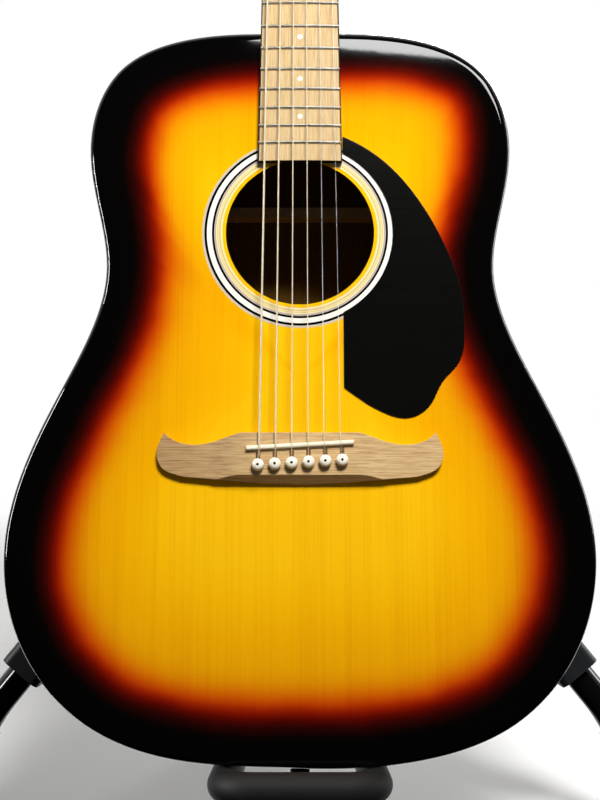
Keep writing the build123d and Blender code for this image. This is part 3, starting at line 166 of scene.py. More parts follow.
# %% [markdown]
# ## The sunburst top
#
# The top is spruce with the grain running up the body. Its finish is sprayed: amber over the whole
# plate, then red and black from the rim inwards, each pass fading over the last, and clear lacquer
# over all. A painted picture would lock the colours to one size, so the colour is worked out from
# the distance to the rim instead. Seen from the middle of the body the rim has one radius in each
# direction. Two more curves say how the true distance grows on the way in, because the rim is met
# at a slant almost everywhere. All three are measured from the solid.

# %% The rim, measured from the solid
INNER_REACH = 110.0
BEARINGS = 1441
board = np.array([turn_in @ (v.co - TAIL) for v in nodes["soundboard"].data.vertices]) / MM
low = board[board[:, 2] < -0.9 * TOP_THICKNESS]
from_hole = np.hypot(low[:, 0], low[:, 1] - HOLE_HEIGHT)
from_middle = np.hypot(low[:, 0], low[:, 1] - BODY_MIDDLE)
rim = low[(from_hole > 1.5 * HOLE_RADIUS) & (from_middle > INNER_REACH)]
bearing = np.arctan2(rim[:, 0], rim[:, 1] - BODY_MIDDLE)
order = np.argsort(bearing)
fine = np.linspace(-math.pi, math.pi, BEARINGS)
rim_radius = np.hypot(rim[:, 0], rim[:, 1] - BODY_MIDDLE)[order]
reach = np.interp(fine, bearing[order], rim_radius, period=2 * math.pi)
ray = np.column_stack((np.sin(fine), np.cos(fine)))
rim_line = ray * reach[:, None]


def true_distance(depth):
    """Distance to the rim from a depth along each ray from the middle."""
    points = ray * (reach - depth)[:, None]
    return np.min(np.hypot(*(points[:, None, :] - rim_line[None, :, :]).transpose(2, 0, 1)), axis=1)


NEAR, FAR = 30.0, 62.0
slant = true_distance(NEAR) / NEAR
slant_growth = (true_distance(FAR) / FAR - slant) / (FAR - NEAR)
print("rim points", len(rim), "reach", reach.min().round(1), "to", reach.max().round(1), "mm")

# %% Distance inwards from the rim, as a shader sees it
RIM_SCALE = 300.0
GROWTH_SCALE, GROWTH_ZERO = 0.02, 0.5
CURVE_POINTS = 49
rim_steps = np.linspace(0, math.pi, CURVE_POINTS)


def rim_distance(add, across, along):
    """Distance inwards from the rim, in millimetres."""
    side = add("Math", across, operation="ABSOLUTE")
    up = add("Math", along, BODY_MIDDLE, operation="SUBTRACT")
    turn = add("Math", add("Math", side, up, operation="ARCTAN2"), math.pi, operation="DIVIDE")
    radius = add("VectorMath", add("CombineXYZ", side, up, 0.0), operation="LENGTH", get="Value")
    read = {}
    for name, values in (
        ("reach", reach / RIM_SCALE),
        ("slant", slant),
        ("growth", slant_growth / GROWTH_SCALE + GROWTH_ZERO),
    ):
        heights = np.interp(rim_steps, fine, values)
        read[name] = add("FloatCurve", {"Value": turn}, stops=list(zip(rim_steps / math.pi, heights)))
    rim_reach = add("Math", read["reach"], RIM_SCALE, operation="MULTIPLY")
    depth = add("Math", rim_reach, radius, operation="SUBTRACT")
    past = add("Math", add("Math", depth, FAR, operation="MINIMUM"), NEAR, operation="SUBTRACT")
    signed = add("Math", read["growth"], GROWTH_ZERO, operation="SUBTRACT")
    growth = add("Math", signed, GROWTH_SCALE, operation="MULTIPLY")
    share = add("Math", growth, past, read["slant"], operation="MULTIPLY_ADD")
    return add("Math", depth, share, operation="MULTIPLY")


# %% [markdown]
# The colours below were judged against the photograph by their distance from the rim. The upper
# right shoulder was sprayed a little narrower than the left, and the hand shows as a slow waver.
# The grain lies under the colour, so it only tints it: hard dark late-wood lines a millimetre and
# a half apart, broad bands from wet and dry years, and a short cross silk.

# %% Sprayed colour, by the distance from the rim in millimetres
SPRAY = [
    (0, "#040404"),
    (17, "#050404"),
    (20, "#0c0403"),
    (25, "#260504"),
    (28, "#3d0603"),
    (31, "#5a0a02"),
    (34, "#7e1402"),
    (37, "#9e2603"),
    (40, "#bb4004"),
    (44, "#ce5e04"),
    (48, "#d87805"),
    (53, "#df8f05"),
    (58, "#e49b05"),
    (64, "#e8a305"),
    (80, "#edaa04"),
    (105, "#f3b608"),
    (128, "#f5bd0e"),
]
BURST_SPAN = SPRAY[-1][0]
HALF_SHOULDER, SHOULDER_RISE = 110.0, (330.0, 440.0)
WIDER_LEFT, NARROWER_RIGHT, SHOULDER_SHIFT = -0.8, 1.0, 7.0
WAVER = 4.0
sunburst, add = open_finish("Lacquered_Sunburst_Spruce")
spot = on_guitar(add)
across, along, out = (add("SeparateXYZ", spot, get=axis) for axis in range(3))
distance = rim_distance(add, across, along)
lopsided = add("MapRange", across, -HALF_SHOULDER, HALF_SHOULDER, WIDER_LEFT, NARROWER_RIGHT)
above = add("MapRange", along, *SHOULDER_RISE, 0.0, SHOULDER_SHIFT)
narrower = add("Math", lopsided, above, operation="MULTIPLY")
slow = add("TexNoise", add("Mapping", spot, {"Scale": cells(35, 35, 35)}), {"Scale": 1.0, "Detail": 2.0})
drift = add("Math", slow, WAVER, -WAVER / 2, operation="MULTIPLY_ADD")
passes = add("Math", add("Math", distance, drift, operation="ADD"), narrower, operation="ADD")
burst = add(
    "ValToRGB",
    add("Math", passes, BURST_SPAN, operation="DIVIDE", use_clamp=True),
    stops=[(distance_mm / BURST_SPAN, colour) for distance_mm, colour in SPRAY],
)
print("sprayed colours", len(SPRAY))

# %% Grain that tints the spray, and bare spruce for the faces inside
late_wood = add(
    "TexNoise",
    add("Mapping", spot, {"Scale": cells(1.5, 240, 1.5)}),
    {"Scale": 1.0, "Detail": 2.0, "Roughness": 0.6},
)
years = add("TexNoise", add("Mapping", spot, {"Scale": cells(14, 500, 14)}), {"Scale": 1.0, "Detail": 2.0})
silk = add("TexNoise", add("Mapping", spot, {"Scale": cells(5, 2.2, 5)}), {"Scale": 1.0, "Detail": 2.0})
shade = add("Math", years, 0.30, operation="MULTIPLY")
shade = add("Math", late_wood, 0.34, shade, operation="MULTIPLY_ADD")
shade = add("Math", silk, 0.08, shade, operation="MULTIPLY_ADD")
tint = add("ValToRGB", shade, stops=[(0.22, "#e3cda8"), (0.38, "#f7f0e2"), (0.52, "#ffffff")])
sprayed = add("Mix", {0: 0.55, 6: burst, 7: tint}, get=2, data_type="RGBA", blend_type="MULTIPLY")
bare = add("Mix", {0: late_wood, 6: "#b98d55", 7: "#dcb780"}, get=2, data_type="RGBA")
print("late wood every 1.5 mm")

# %% Soundhole: a wall coloured dark as painted shade, and glue in the rosette's channel
CHANNEL_MIDDLE, CHANNEL_HALF, CHANNEL_STEP = 59.6, 7.0, 58.2
# The dark painted shade of the wall reaches this far past the hole's radius onto the face, in millimetres.
WALL_MARGIN = 0.35
from_centre = add("CombineXYZ", across, add("Math", along, HOLE_HEIGHT, operation="SUBTRACT"), 0.0)
hole_reach = add("VectorMath", from_centre, operation="LENGTH", get="Value")
in_hole = add("Math", hole_reach, HOLE_RADIUS + WALL_MARGIN, operation="LESS_THAN")
# Glue fills the channel cut for the rosette and shows as hairlines: pale inside, dark outside.
near_channel = add("Math", hole_reach, CHANNEL_MIDDLE, CHANNEL_HALF, operation="COMPARE")
pale_glue = add("Math", hole_reach, CHANNEL_STEP, operation="LESS_THAN")
glue = add("Mix", {0: pale_glue, 6: "#050505", 7: "#b7aaa2"}, get=2, data_type="RGBA")
sprayed = add("Mix", {0: near_channel, 6: sprayed, 7: glue}, get=2, data_type="RGBA")
under = add("Math", out, -0.93 * TOP_THICKNESS, operation="LESS_THAN")
uncoated = add("Math", in_hole, under, operation="MAXIMUM")
colour = add("Mix", {0: uncoated, 6: sprayed, 7: bare}, get=2, data_type="RGBA")
# Painted shade: the wall of the soundhole, and a hair of the face beside it, are coloured dark brown for
# the shade inside the hole, where bare spruce end grain would show pale.
colour = add("Mix", {0: in_hole, 6: colour, 7: "#2a1808"}, get=2, data_type="RGBA")
print("soundhole of", 2 * HOLE_RADIUS, "mm")

# %% Lacquered sunburst spruce: deep gloss over a fading colour, with the grain showing in the amber
ROLL_WIDTH, ROLL_HEIGHT, ORANGE_PEEL = 6.0, 1.0, 0.003
# The lacquer rolls over the rim: the outer few millimetres turn away and catch the light.
roll = add("Math", distance, ROLL_WIDTH, operation="DIVIDE", use_clamp=True)
rolled = add("Math", add("Math", roll, math.pi / 2, operation="MULTIPLY"), operation="SINE")
peel = add("TexNoise", add("Mapping", spot, {"Scale": cells(7, 7, 7)}), {"Scale": 1.0, "Detail": 1.0})
relief = add("Math", peel, ORANGE_PEEL, rolled, operation="MULTIPLY_ADD")
skin = add("Bump", {"Height": relief, "Distance": ROLL_HEIGHT * MM})
surface = add(
    "BsdfPrincipled",
    {
        "Base Color": colour,
        "Roughness": 0.5,
        "Specular IOR Level": 0.0,
        "Coat Weight": add("Math", 1.0, uncoated, operation="SUBTRACT"),
        "Coat Roughness": 0.03,
        "Normal": skin,
        "Coat Normal": skin,
    },
)
add("OutputMaterial", surface)
dress(sunburst, "soundboard")

# %% [markdown]
# ## Back, sides and neck
#
# The outside of the box is black under the same clear lacquer. Inside, the mahogany was left bare,
# and a little of the back and one of its braces shows through the soundhole. Each plate is one
# solid with both faces, so the shader asks which way a face looks: away from the middle of the
# body it is lacquered, towards the middle it is bare.

# %% Black lacquer outside and bare mahogany inside
shell, add = open_finish("Black_Lacquered_Mahogany")
spot = on_guitar(add)
pores = add("TexNoise", add("Mapping", spot, {"Scale": cells(1.2, 30, 1.2)}), {"Scale": 1.0, "Detail": 4.0})
figure = add(
    "TexNoise",
    add("Mapping", spot, {"Scale": cells(18, 160, 18)}),
    {"Scale": 1.0, "Detail": 2.0, "Distortion": 0.6},
)
mahogany = add("Mix", {0: pores, 6: "#46300f", 7: "#8a6428"}, get=2, data_type="RGBA")
mahogany = add(
    "Mix",
    {0: add("Math", figure, 0.6, operation="MULTIPLY"), 6: mahogany, 7: "#6b4a1d"},
    get=2,
    data_type="RGBA",
)
box_middle = place(0, BODY_MIDDLE, -HALF_DEPTH)
outward = add("VectorMath", add("TexCoord", get="Object"), box_middle, operation="SUBTRACT")
facing = add("VectorMath", outward, add("NewGeometry", get="Normal"), operation="DOT_PRODUCT", get="Value")
inside = add("Math", facing, 0.0, operation="LESS_THAN")
# Sanding between coats leaves the black slightly uneven and less polished than the top, so what
# it mirrors has soft edges.
flow = add("TexNoise", add("Mapping", spot, {"Scale": cells(8, 8, 8)}), {"Scale": 1.0, "Detail": 1.0})
skin = add("Bump", {"Height": flow, "Distance": 0.012 * MM})
surface = add(
    "BsdfPrincipled",
    {
        "Base Color": add("Mix", {0: inside, 6: "#040404", 7: mahogany}, get=2, data_type="RGBA"),
        "Roughness": add("Math", inside, 0.4, 0.35, operation="MULTIPLY_ADD"),
        "Specular IOR Level": 0.05,
        "Coat Weight": add("Math", 1.0, inside, operation="SUBTRACT"),
        "Coat Roughness": 0.2,
        "Normal": skin,
        "Coat Normal": skin,
    },
)
add("OutputMaterial", surface)
dress(shell, "back_plate", "side_bass", "side_treble")

# %% Black satin lacquer on the neck: rubbed down, so the hand slides and the light spreads
satin, add = open_finish("Black_Satin_Lacquered_Mahogany")
spot = on_guitar(add)
streaks = add(
    "TexNoise",
    add("Mapping", spot, {"Scale": cells(1.6, 60, 1.6)}),
    {"Scale": 1.0, "Detail": 3.0},
)
surface = add(
    "BsdfPrincipled",
    {
        "Base Color": add("Mix", {0: streaks, 6: "#070606", 7: "#120e0c"}, get=2, data_type="RGBA"),
        "Roughness": add("Math", streaks, 0.14, 0.30, operation="MULTIPLY_ADD"),
        "Coat Weight": 0.4,
        "Coat Roughness": 0.22,
        "Normal": add("Bump", {"Height": streaks, "Distance": 0.03 * MM}),
    },
)
add("OutputMaterial", surface)
dress(satin, "neck")

# %% Black gloss on the headstock's front and the strap button: polished, with soft broken edges
gloss, add = open_finish("Black_Gloss_Lacquered_Veneer")
spot = on_guitar(add)
flow = add("TexNoise", add("Mapping", spot, {"Scale": cells(6, 6, 6)}), {"Scale": 1.0, "Detail": 1.0})
edges = add("Bevel", 0.4 * MM, samples=6)
surface = add(
    "BsdfPrincipled",
    {
        "Base Color": add("Mix", {0: flow, 6: "#060505", 7: "#0a0909"}, get=2, data_type="RGBA"),
        "Roughness": add("Math", flow, 0.1, 0.28, operation="MULTIPLY_ADD"),
        "Specular IOR Level": 0.2,
        "Coat Weight": 1.0,
        "Coat Roughness": 0.04,
        "Normal": edges,
        "Coat Normal": add("Bump", {"Height": flow, "Distance": 0.01 * MM, "Normal": edges}),
    },
)
add("OutputMaterial", surface)
dress(gloss, "headplate", "end_pin")

# %% Bare planed spruce of the braces, blocks and linings: dull, with the plane's long fibres
brace_wood, add = open_finish("Bare_Planed_Spruce")
spot = on_guitar(add)
fibres = add("TexNoise", add("Mapping", spot, {"Scale": cells(9, 1.4, 1.4)}), {"Scale": 1.0, "Detail": 4.0})
surface = add(
    "BsdfPrincipled",
    {
        "Base Color": add("Mix", {0: fibres, 6: "#a87f4c", 7: "#dcb984"}, get=2, data_type="RGBA"),
        "Roughness": 0.75,
        "Normal": add("Bump", {"Height": fibres, "Distance": 0.08 * MM}),
    },
)
add("OutputMaterial", surface)
glued_inside = ("top_lining", "back_lining", "neck_block", "tail_block", "bridge_plate")
dress(brace_wood, "top_braces", "back_braces", *glued_inside)

# %% [markdown]
# ## Fretboard and bridge
#
# Both are pale walnut, oiled and not lacquered, so the pores stay open and the surface is dull.
# The grain runs up the fretboard and across the bridge: the same wood with its cells turned. One
# function makes the wood and gives back its layers, and each piece finishes them its own way. The
# fretboard's edges are painted black, and the bridge's edges are broken with fine paper.


# %% Oiled walnut
def walnut(add, cell, tones):
    """Colour and fibre of open-pored wood, with the grain along the longest side of its cell."""
    spot = on_guitar(add)
    fibre = add(
        "TexNoise",
        add("Mapping", spot, {"Scale": cells(*cell)}),
        {"Scale": 1.0, "Detail": 5.0, "Roughness": 0.62},
    )
    broad = add(
        "TexNoise",
        add("Mapping", spot, {"Scale": cells(*(5 * c for c in cell))}),
        {"Scale": 1.0, "Detail": 2.0, "Distortion": 0.8},
    )
    pores = add(
        "TexNoise",
        add("Mapping", spot, {"Scale": cells(*(0.45 * c for c in cell))}),
        {"Scale": 1.0, "Detail": 2.0},
    )
    body = add("ValToRGB", fibre, stops=[(0.28, tones[0]), (0.46, tones[1]), (0.62, tones[2])])
    calm = add("Math", broad, 0.55, operation="MULTIPLY")
    body = add("Mix", {0: calm, 6: body, 7: tones[1]}, get=2, data_type="RGBA")
    open_pores = add("ValToRGB", pores, stops=[(0.30, "#3a2a1c"), (0.42, "#ffffff")])
    body = add("Mix", {0: 0.28, 6: body, 7: open_pores}, get=2, data_type="RGBA", blend_type="MULTIPLY")
    return body, fibre


# %% Oiled fretboard walnut: dull and warm, with a thin black line of paint along each edge
EDGE_LINE, END_SLICE = 0.9, 3.0
board_wood, add = open_finish("Oiled_Walnut_Fretboard")
body, fibre = walnut(add, (0.8, 26.0, 5.0), ("#a58453", "#bfa273", "#d0b78b"))
outward = turn_out @ Vector((0, 0, 1))
facing = add("VectorMath", add("NewGeometry", get="Normal"), outward, operation="DOT_PRODUCT", get="Value")
side_face = add("Math", facing, 0.6, operation="LESS_THAN")
# The paint of the edges comes round onto the face as a line a little under a millimetre wide.
neck_line = np.array([turn_in @ (v.co - TAIL) for v in nodes["fretboard"].data.vertices]) / MM
board_ends = neck_line[:, 1].min(), neck_line[:, 1].max()
half_widths = [neck_line[np.abs(neck_line[:, 1] - end) < END_SLICE][:, 0].max() for end in board_ends]
spot = on_guitar(add)
across, along = (add("SeparateXYZ", spot, get=axis) for axis in range(2))
half_board = add("MapRange", along, *board_ends, *half_widths)
to_edge = add("Math", half_board, add("Math", across, operation="ABSOLUTE"), operation="SUBTRACT")
lined = add("Math", to_edge, EDGE_LINE, operation="LESS_THAN")
painted = add("Math", side_face, lined, operation="MAXIMUM")
surface = add(
    "BsdfPrincipled",
    {
        "Base Color": add("Mix", {0: painted, 6: body, 7: "#0b0908"}, get=2, data_type="RGBA"),
        "Roughness": add("Math", fibre, 0.2, 0.48, operation="MULTIPLY_ADD"),
        "Specular IOR Level": 0.35,
        "Normal": add("Bump", {"Height": fibre, "Distance": 0.06 * MM}),
    },
)
add("OutputMaterial", surface)
dress(board_wood, "fretboard")

# %% Oiled bridge walnut: dull, with the grain lying across and its edges broken
bridge_wood, add = open_finish("Oiled_Walnut_Bridge")
body, fibre = walnut(add, (22.0, 0.9, 5.0), ("#94714a", "#c09d6c", "#d8bb8b"))
# Painted shade: the colour darkens towards the bass end, standing in for the dimmer light there, because
# the light comes from the right.
across = add("SeparateXYZ", on_guitar(add), get=0)
painted_bass_shade = add("MapRange", across, -95.0, -5.0, 0.6, 0.0)
edges = add("Bevel", 0.9 * MM, samples=6)
# Painted shade is multiplied in as a greyed tan, strongest at the bass end.
body = add("Mix", {0: painted_bass_shade, 6: body, 7: "#b79f86"}, get=2, data_type="RGBA", blend_type="MULTIPLY")
surface = add(
    "BsdfPrincipled",
    {
        "Base Color": body,
        "Roughness": add("Math", fibre, 0.2, 0.48, operation="MULTIPLY_ADD"),
        "Specular IOR Level": 0.35,
        "Normal": add("Bump", {"Height": fibre, "Distance": 0.07 * MM, "Normal": edges}),
    },
)
add("OutputMaterial", surface)
dress(bridge_wood, "bridge")

# %% [markdown]
# ## Rosette, pickguard, bone and plastic
#
# The rosette is laid into a channel as thin strips bent round the soundhole: fine cream and grey
# lines inside, and a white band between two black ones outside. Each strip is a range of radii, so
# a ramp with hard steps over the radius draws them all at their real widths.

# %% Rosette of laid-in wood and fibre strips under the top's lacquer
rosette, add = open_finish("Laid_In_Rosette_Strips")
spot = on_guitar(add)
across, along = (add("SeparateXYZ", spot, get=axis) for axis in range(2))
from_centre = add("CombineXYZ", across, add("Math", along, HOLE_HEIGHT, operation="SUBTRACT"), 0.0)
radius = add("VectorMath", from_centre, operation="LENGTH", get="Value")
RING_START, RING_END = 52.6, 66.8
STRIPS = [
    (52.6, "#f6e4a4"),
    (53.9, "#cdbc92"),
    (54.9, "#ecdb9e"),
    (55.7, "#d3c190"),
    (56.2, "#f2e1b2"),
    (57.0, "#b7aaa2"),
    (58.3, "#040404"),
    (59.8, "#f1f1ee"),
    (63.2, "#040405"),
    (64.9, "#c6c0b6"),
    (66.0, "#d8c596"),
]
# A hair of blur where two strips meet stands for the glue line.
GLUE = 0.06
steps = []
for number, (start, strip) in enumerate(STRIPS):
    end = STRIPS[number + 1][0] if number + 1 < len(STRIPS) else RING_END
    steps += [(start + GLUE, strip), (end - GLUE, strip)]
span = RING_END - RING_START
laid = add(
    "ValToRGB",
    add("MapRange", radius, RING_START, RING_END, 0.0, 1.0),
    stops=[((place_mm - RING_START) / span, strip) for place_mm, strip in steps],
)
speck = add(
    "TexNoise",
    add("Mapping", spot, {"Scale": cells(1.2, 1.2, 1.2)}),
    {"Scale": 1.0, "Detail": 2.0},
)
age = add("Mix", {0: speck, 6: "#ffffff", 7: "#efe6d2"}, get=2, data_type="RGBA")
aged = add("Mix", {0: 1.0, 6: laid, 7: age}, get=2, data_type="RGBA", blend_type="MULTIPLY")
surface = add(
    "BsdfPrincipled",
    {
        "Base Color": aged,
        "Roughness": 0.4,
        "Specular IOR Level": 0.0,
        "Coat Weight": 1.0,
        "Coat Roughness": 0.04,
    },
)
add("OutputMaterial", surface)
dress(rosette, "rosette")

# %% Black celluloid: polished sheet with faint scuffs from playing, and a softened edge
celluloid, add = open_finish("Polished_Black_Celluloid")
spot = on_guitar(add)
scuffs = add(
    "TexNoise",
    add("Mapping", spot, {"Scale": cells(30, 2, 2)}),
    {"Scale": 1.0, "Detail": 5.0, "Distortion": 1.2},
)
surface = add(
    "BsdfPrincipled",
    {
        "Base Color": add("Mix", {0: scuffs, 6: "#080807", 7: "#0b0b09"}, get=2, data_type="RGBA"),
        "Roughness": add("Math", scuffs, 0.08, 0.10, operation="MULTIPLY_ADD"),
        "Specular IOR Level": 0.4,
        "Normal": add("Bevel", 0.6 * MM, samples=6),
    },
)
add("OutputMaterial", surface)
dress(celluloid, "pickguard", "truss_rod_cover")

# %% Polished bone: cream with long veins, a little waxy because light goes into it
bone, add = open_finish("Polished_Bone")
spot = on_guitar(add)
veins = add("TexNoise", add("Mapping", spot, {"Scale": cells(12, 1, 1)}), {"Scale": 1.0, "Detail": 4.0})
surface = add(
    "BsdfPrincipled",
    {
        "Base Color": add("Mix", {0: veins, 6: "#e2d6b6", 7: "#f7f0dc"}, get=2, data_type="RGBA"),
        "Roughness": 0.38,
        "Subsurface Weight": 0.15,
        "Subsurface Scale": 1.0 * MM,
        "Normal": add("Bevel", 0.3 * MM, samples=6),
    },
)
add("OutputMaterial", surface)
dress(bone, "saddle", "nut")

# %% Ivory plastic of the pins and dots: moulded and tumbled, so it is glossy with a cloudy tone
ivory, add = open_finish("Tumbled_Ivory_Plastic")
spot = on_guitar(add)
cloud = add("TexNoise", add("Mapping", spot, {"Scale": cells(4, 4, 4)}), {"Scale": 1.0, "Detail": 2.0})
surface = add(
    "BsdfPrincipled",
    {
        "Base Color": add("Mix", {0: cloud, 6: "#e9dfc6", 7: "#f8f3e4"}, get=2, data_type="RGBA"),
        "Roughness": add("Math", cloud, 0.1, 0.22, operation="MULTIPLY_ADD"),
        "Coat Weight": 0.5,
        "Coat Roughness": 0.08,
    },
)
add("OutputMaterial", surface)
dress(ivory, "bridge_pins", "position_dots")

# %% [markdown]
# ## Metal
#
# Plain strings and frets are drawn wire, so their marks run lengthwise. The machine heads are
# plated: a mirror with a faint haze. All of them are bare metal to the shader and differ in
# colour, in how far a highlight spreads, and in the marks of their making.


# %% Drawn and plated metal
def metal(name, tones, roughness, cell, depth_mm):
    """Bare or plated metal with the fine marks of how it was made."""
    made, add = open_finish(name)
    marks = add(
        "TexNoise",
        add("Mapping", on_guitar(add), {"Scale": cells(*cell)}),
        {"Scale": 1.0, "Detail": 3.0},
    )
    surface = add(
        "BsdfPrincipled",
        {
            "Base Color": add("Mix", {0: marks, 6: tones[0], 7: tones[1]}, get=2, data_type="RGBA"),
            "Metallic": 1.0,
            "Roughness": add("MapRange", marks, 0.0, 1.0, *roughness),
            "Normal": add("Bump", {"Height": marks, "Distance": depth_mm * MM}),
        },
    )
    add("OutputMaterial", surface)
    return made


steel_wire = metal("Drawn_Steel_Wire", ("#c9c8c4", "#eeede9"), (0.24, 0.36), (0.4, 12.0, 0.4), 0.004)
dress(steel_wire, "plain_strings")
fret_wire = metal("Nickel_Silver_Fret_Wire", ("#cdc8bb", "#ece8dd"), (0.34, 0.48), (14.0, 0.3, 0.3), 0.006)
dress(fret_wire, "frets")
zinc_steel = metal("Bright_Zinc_Plated_Steel", ("#9a9a97", "#c5c5c0"), (0.3, 0.5), (1.5, 1.5, 1.5), 0.02)
dress(zinc_steel, "truss_rod", "hinge_pin", "frame_bolts")
chrome = metal("Chrome_Plated_Zinc", ("#c9cacc", "#eceded"), (0.05, 0.14), (5.0, 5.0, 5.0), 0.003)
moving = [f"tuner_{kind}_{number}" for number in range(1, 7) for kind in ("post", "button")]
dress(chrome, "tuner_bushings", "tuner_plates", "tuner_screws", *moving)

# %% [markdown]
# Wound strings are a steel core with bronze wire laid round it. Every turn is a tiny cylinder, and
# together they scatter light much as a dull surface does, so the shader is only partly metal. The
# turns are real size, a little under half a millimetre, and show in a close view.

# %% Wound phosphor bronze: pale gold, glittering in fine steps
bronze, add = open_finish("Wound_Phosphor_Bronze")
spot = on_guitar(add)
along = add("SeparateXYZ", spot, get=1)
WRAP_PITCH = 0.42
phase = add("Math", along, math.pi / WRAP_PITCH, operation="MULTIPLY")
wrap = add("Math", add("Math", phase, operation="SINE"), operation="ABSOLUTE")
tarnish = add("TexNoise", add("Mapping", spot, {"Scale": cells(1, 8, 1)}), {"Scale": 1.0, "Detail": 3.0})
surface = add(
    "BsdfPrincipled",
    {
        "Base Color": add("Mix", {0: tarnish, 6: "#e6d1a8", 7: "#fdf2da"}, get=2, data_type="RGBA"),
        "Metallic": 0.5,
        "Roughness": add("MapRange", tarnish, 0.0, 1.0, 0.3, 0.42),
        "Normal": add("Bump", {"Height": wrap, "Distance": 0.06 * MM}),
    },
)
add("OutputMaterial", surface)
dress(bronze, "wound_strings")

# %% [markdown]
# ## The stand
#
# Tubes are stove enamelled: a black gloss with a faint orange peel, which draws a thin bright line
# along a tube. The fittings are moulded nylon with a light spark texture, and the boots and the
# cradle's sleeve are rubber. They are the same kind of black with different grit and gloss, so one
# function makes them from those sizes.


# %% Enamel, nylon, rubber and foam
WEAR_MM = 45.0


def black_finish(name, tones, roughness, grit_mm, depth_mm):
    """A dull or satin black with a fine relief and slow changes from handling."""
    made, add = open_finish(name)
    spot = on_guitar(add)
    sizes = [add("Mapping", spot, {"Scale": cells(size, size, size)}) for size in (grit_mm, WEAR_MM)]
    grit, wear = (add("TexNoise", size, {"Scale": 1.0, "Detail": 3.0}) for size in sizes)
    surface = add(
        "BsdfPrincipled",
        {
            "Base Color": add("Mix", {0: wear, 6: tones[0], 7: tones[1]}, get=2, data_type="RGBA"),
            "Roughness": add("MapRange", wear, 0.0, 1.0, *roughness),
            "Normal": add("Bump", {"Height": grit, "Distance": depth_mm * MM}),
        },
    )
    add("OutputMaterial", surface)
    return made


enamel = black_finish("Black_Stove_Enamel", ("#070708", "#0d0d0e"), (0.08, 0.16), 3.0, 0.010)
dress(enamel, "front_leg_left", "front_leg_right", "crossbar", "cradle", "rear_leg")
nylon = black_finish("Moulded_Black_Nylon", ("#16171a", "#232527"), (0.42, 0.55), 0.7, 0.05)
dress(nylon, "leg_collars", "apex_hub", "rear_leg_eye", "arm_clamps")
rubber = black_finish("Moulded_Black_Rubber", ("#101010", "#1b1b1a"), (0.55, 0.7), 1.1, 0.07)
dress(rubber, "boot_left", "boot_right", "rear_boot", "cradle_sleeve")
foam = black_finish("Closed_Cell_Foam", ("#131313", "#202020"), (0.85, 0.95), 0.9, 0.25)

# %% [markdown]
# ## Turned pieces
#
# Screws, bolts, foam sleeves and the dots of the pins are all round about one line. A cylinder
# with a modifier would do for the plain ones, but a screw's recess is not round, so one function
# lays rings of points: each ring has a depth below the top and a radius, and the radius may change
# with the angle. Where the pieces go is read from the solids that they stand on or stand for.


# %% Rings, and the separate solids of a node
def turned(rings, top, direction, segments=48, hollow=False):
    """Points and faces of a form round a line, from rings of (depth, radius) in millimetres."""
    direction = direction.normalized()
    first = direction.orthogonal().normalized()
    second = direction.cross(first)
    points, faces = [], []
    for depth, radius in rings:
        for number in range(segments):
            angle = 2 * math.pi * number / segments
            ray = first * math.cos(angle) + second * math.sin(angle)
            reach = radius(angle, ray) if callable(radius) else radius
            points.append(top - direction * (depth * MM) + ray * (reach * MM))
    count = len(rings)
    for ring in range(count if hollow else count - 1):
        here, below = ring * segments, (ring + 1) % count * segments
        for number in range(segments):
            after = (number + 1) % segments
            faces.append((here + number, below + number, below + after, here + after))
    if not hollow:
        faces.append(tuple(range(segments)))
        faces.append(tuple(reversed(range((count - 1) * segments, count * segments))))
    return points, faces


def piece(name, parts, material, body):
    """One object from several point-and-face lists, riding on a body."""
    points, faces = [], []
    for part_points, part_faces in parts:
        faces += [tuple(corner + len(points) for corner in face) for face in part_faces]
        points += part_points
    mesh = bpy.data.meshes.new(name)
    mesh.from_pydata(points, [], faces)
    mesh.shade_smooth()
    mesh.set_sharp_from_angle(angle=math.radians(38))
    mesh.materials.append(material)
    made = bpy.data.objects.new(name, mesh)
    bpy.context.scene.collection.objects.link(made)
    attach(made, body)
    print(name, "parts", len(parts), "faces", len(faces), "on", body)
    return made


def solids_of(name):
    """The separate solids of a node, each as an array of points in metres."""
    shape = bmesh.new()
    shape.from_mesh(nodes[name].data)
    bmesh.ops.remove_doubles(shape, verts=shape.verts, dist=1e-6)
    left, found = set(shape.verts), []
    while left:
        group, edge = set(), [left.pop()]
        while edge:
            corner = edge.pop()
            group.add(corner)
            near = {line.other_vert(corner) for line in corner.link_edges} & left
            left -= near
            edge += near
        found.append(np.array([corner.co for corner in group]))
    shape.free()
    return found


def axis_of(points):
    """Top, direction, length and radius of a long turned solid; its thick end is the top."""
    middle = points.mean(0)
    direction = np.linalg.svd(points - middle, full_matrices=False)[2][0]
    heights = (points - middle) @ direction
    radii = np.linalg.norm(points - middle - np.outer(heights, direction), axis=1)
    if radii[heights > 0].max() < radii[heights < 0].max():
        direction, heights = -direction, -heights
    length = (heights.max() - heights.min()) / MM
    return Vector(middle + direction * heights.max()), Vector(direction), length, radii.max() / MM


# %% [markdown]
# ## Dots in the bridge pins
#
# Each pin's head has a small black dot let into its top. On the solid it would be a hair-thin
# step, so it is its own piece: a low lens that stands a few hundredths proud.

# %% Pin dots
DOT_RADIUS = 0.85
dot_rings = [(-0.04, 0.25), (-0.03, 0.55), (0.01, DOT_RADIUS), (0.3, DOT_RADIUS)]
pin_tops = [axis_of(points) for points in solids_of("bridge_pins")]
dots = [turned(dot_rings, top, direction, segments=24) for top, direction, *_ in pin_tops]
piece("Pin_Dots", dots, celluloid, "guitar")

# %% [markdown]
# ## Screws and bolts
#
# The small fasteners are solids with plain heads. Seen close, a real head is domed and has a
# recess for the driver, and that recess is what makes it read as a screw. These pieces stand for
# the solids at the same places and sizes: cross recesses for the plates' wood screws, sockets for
# the stand's bolts.


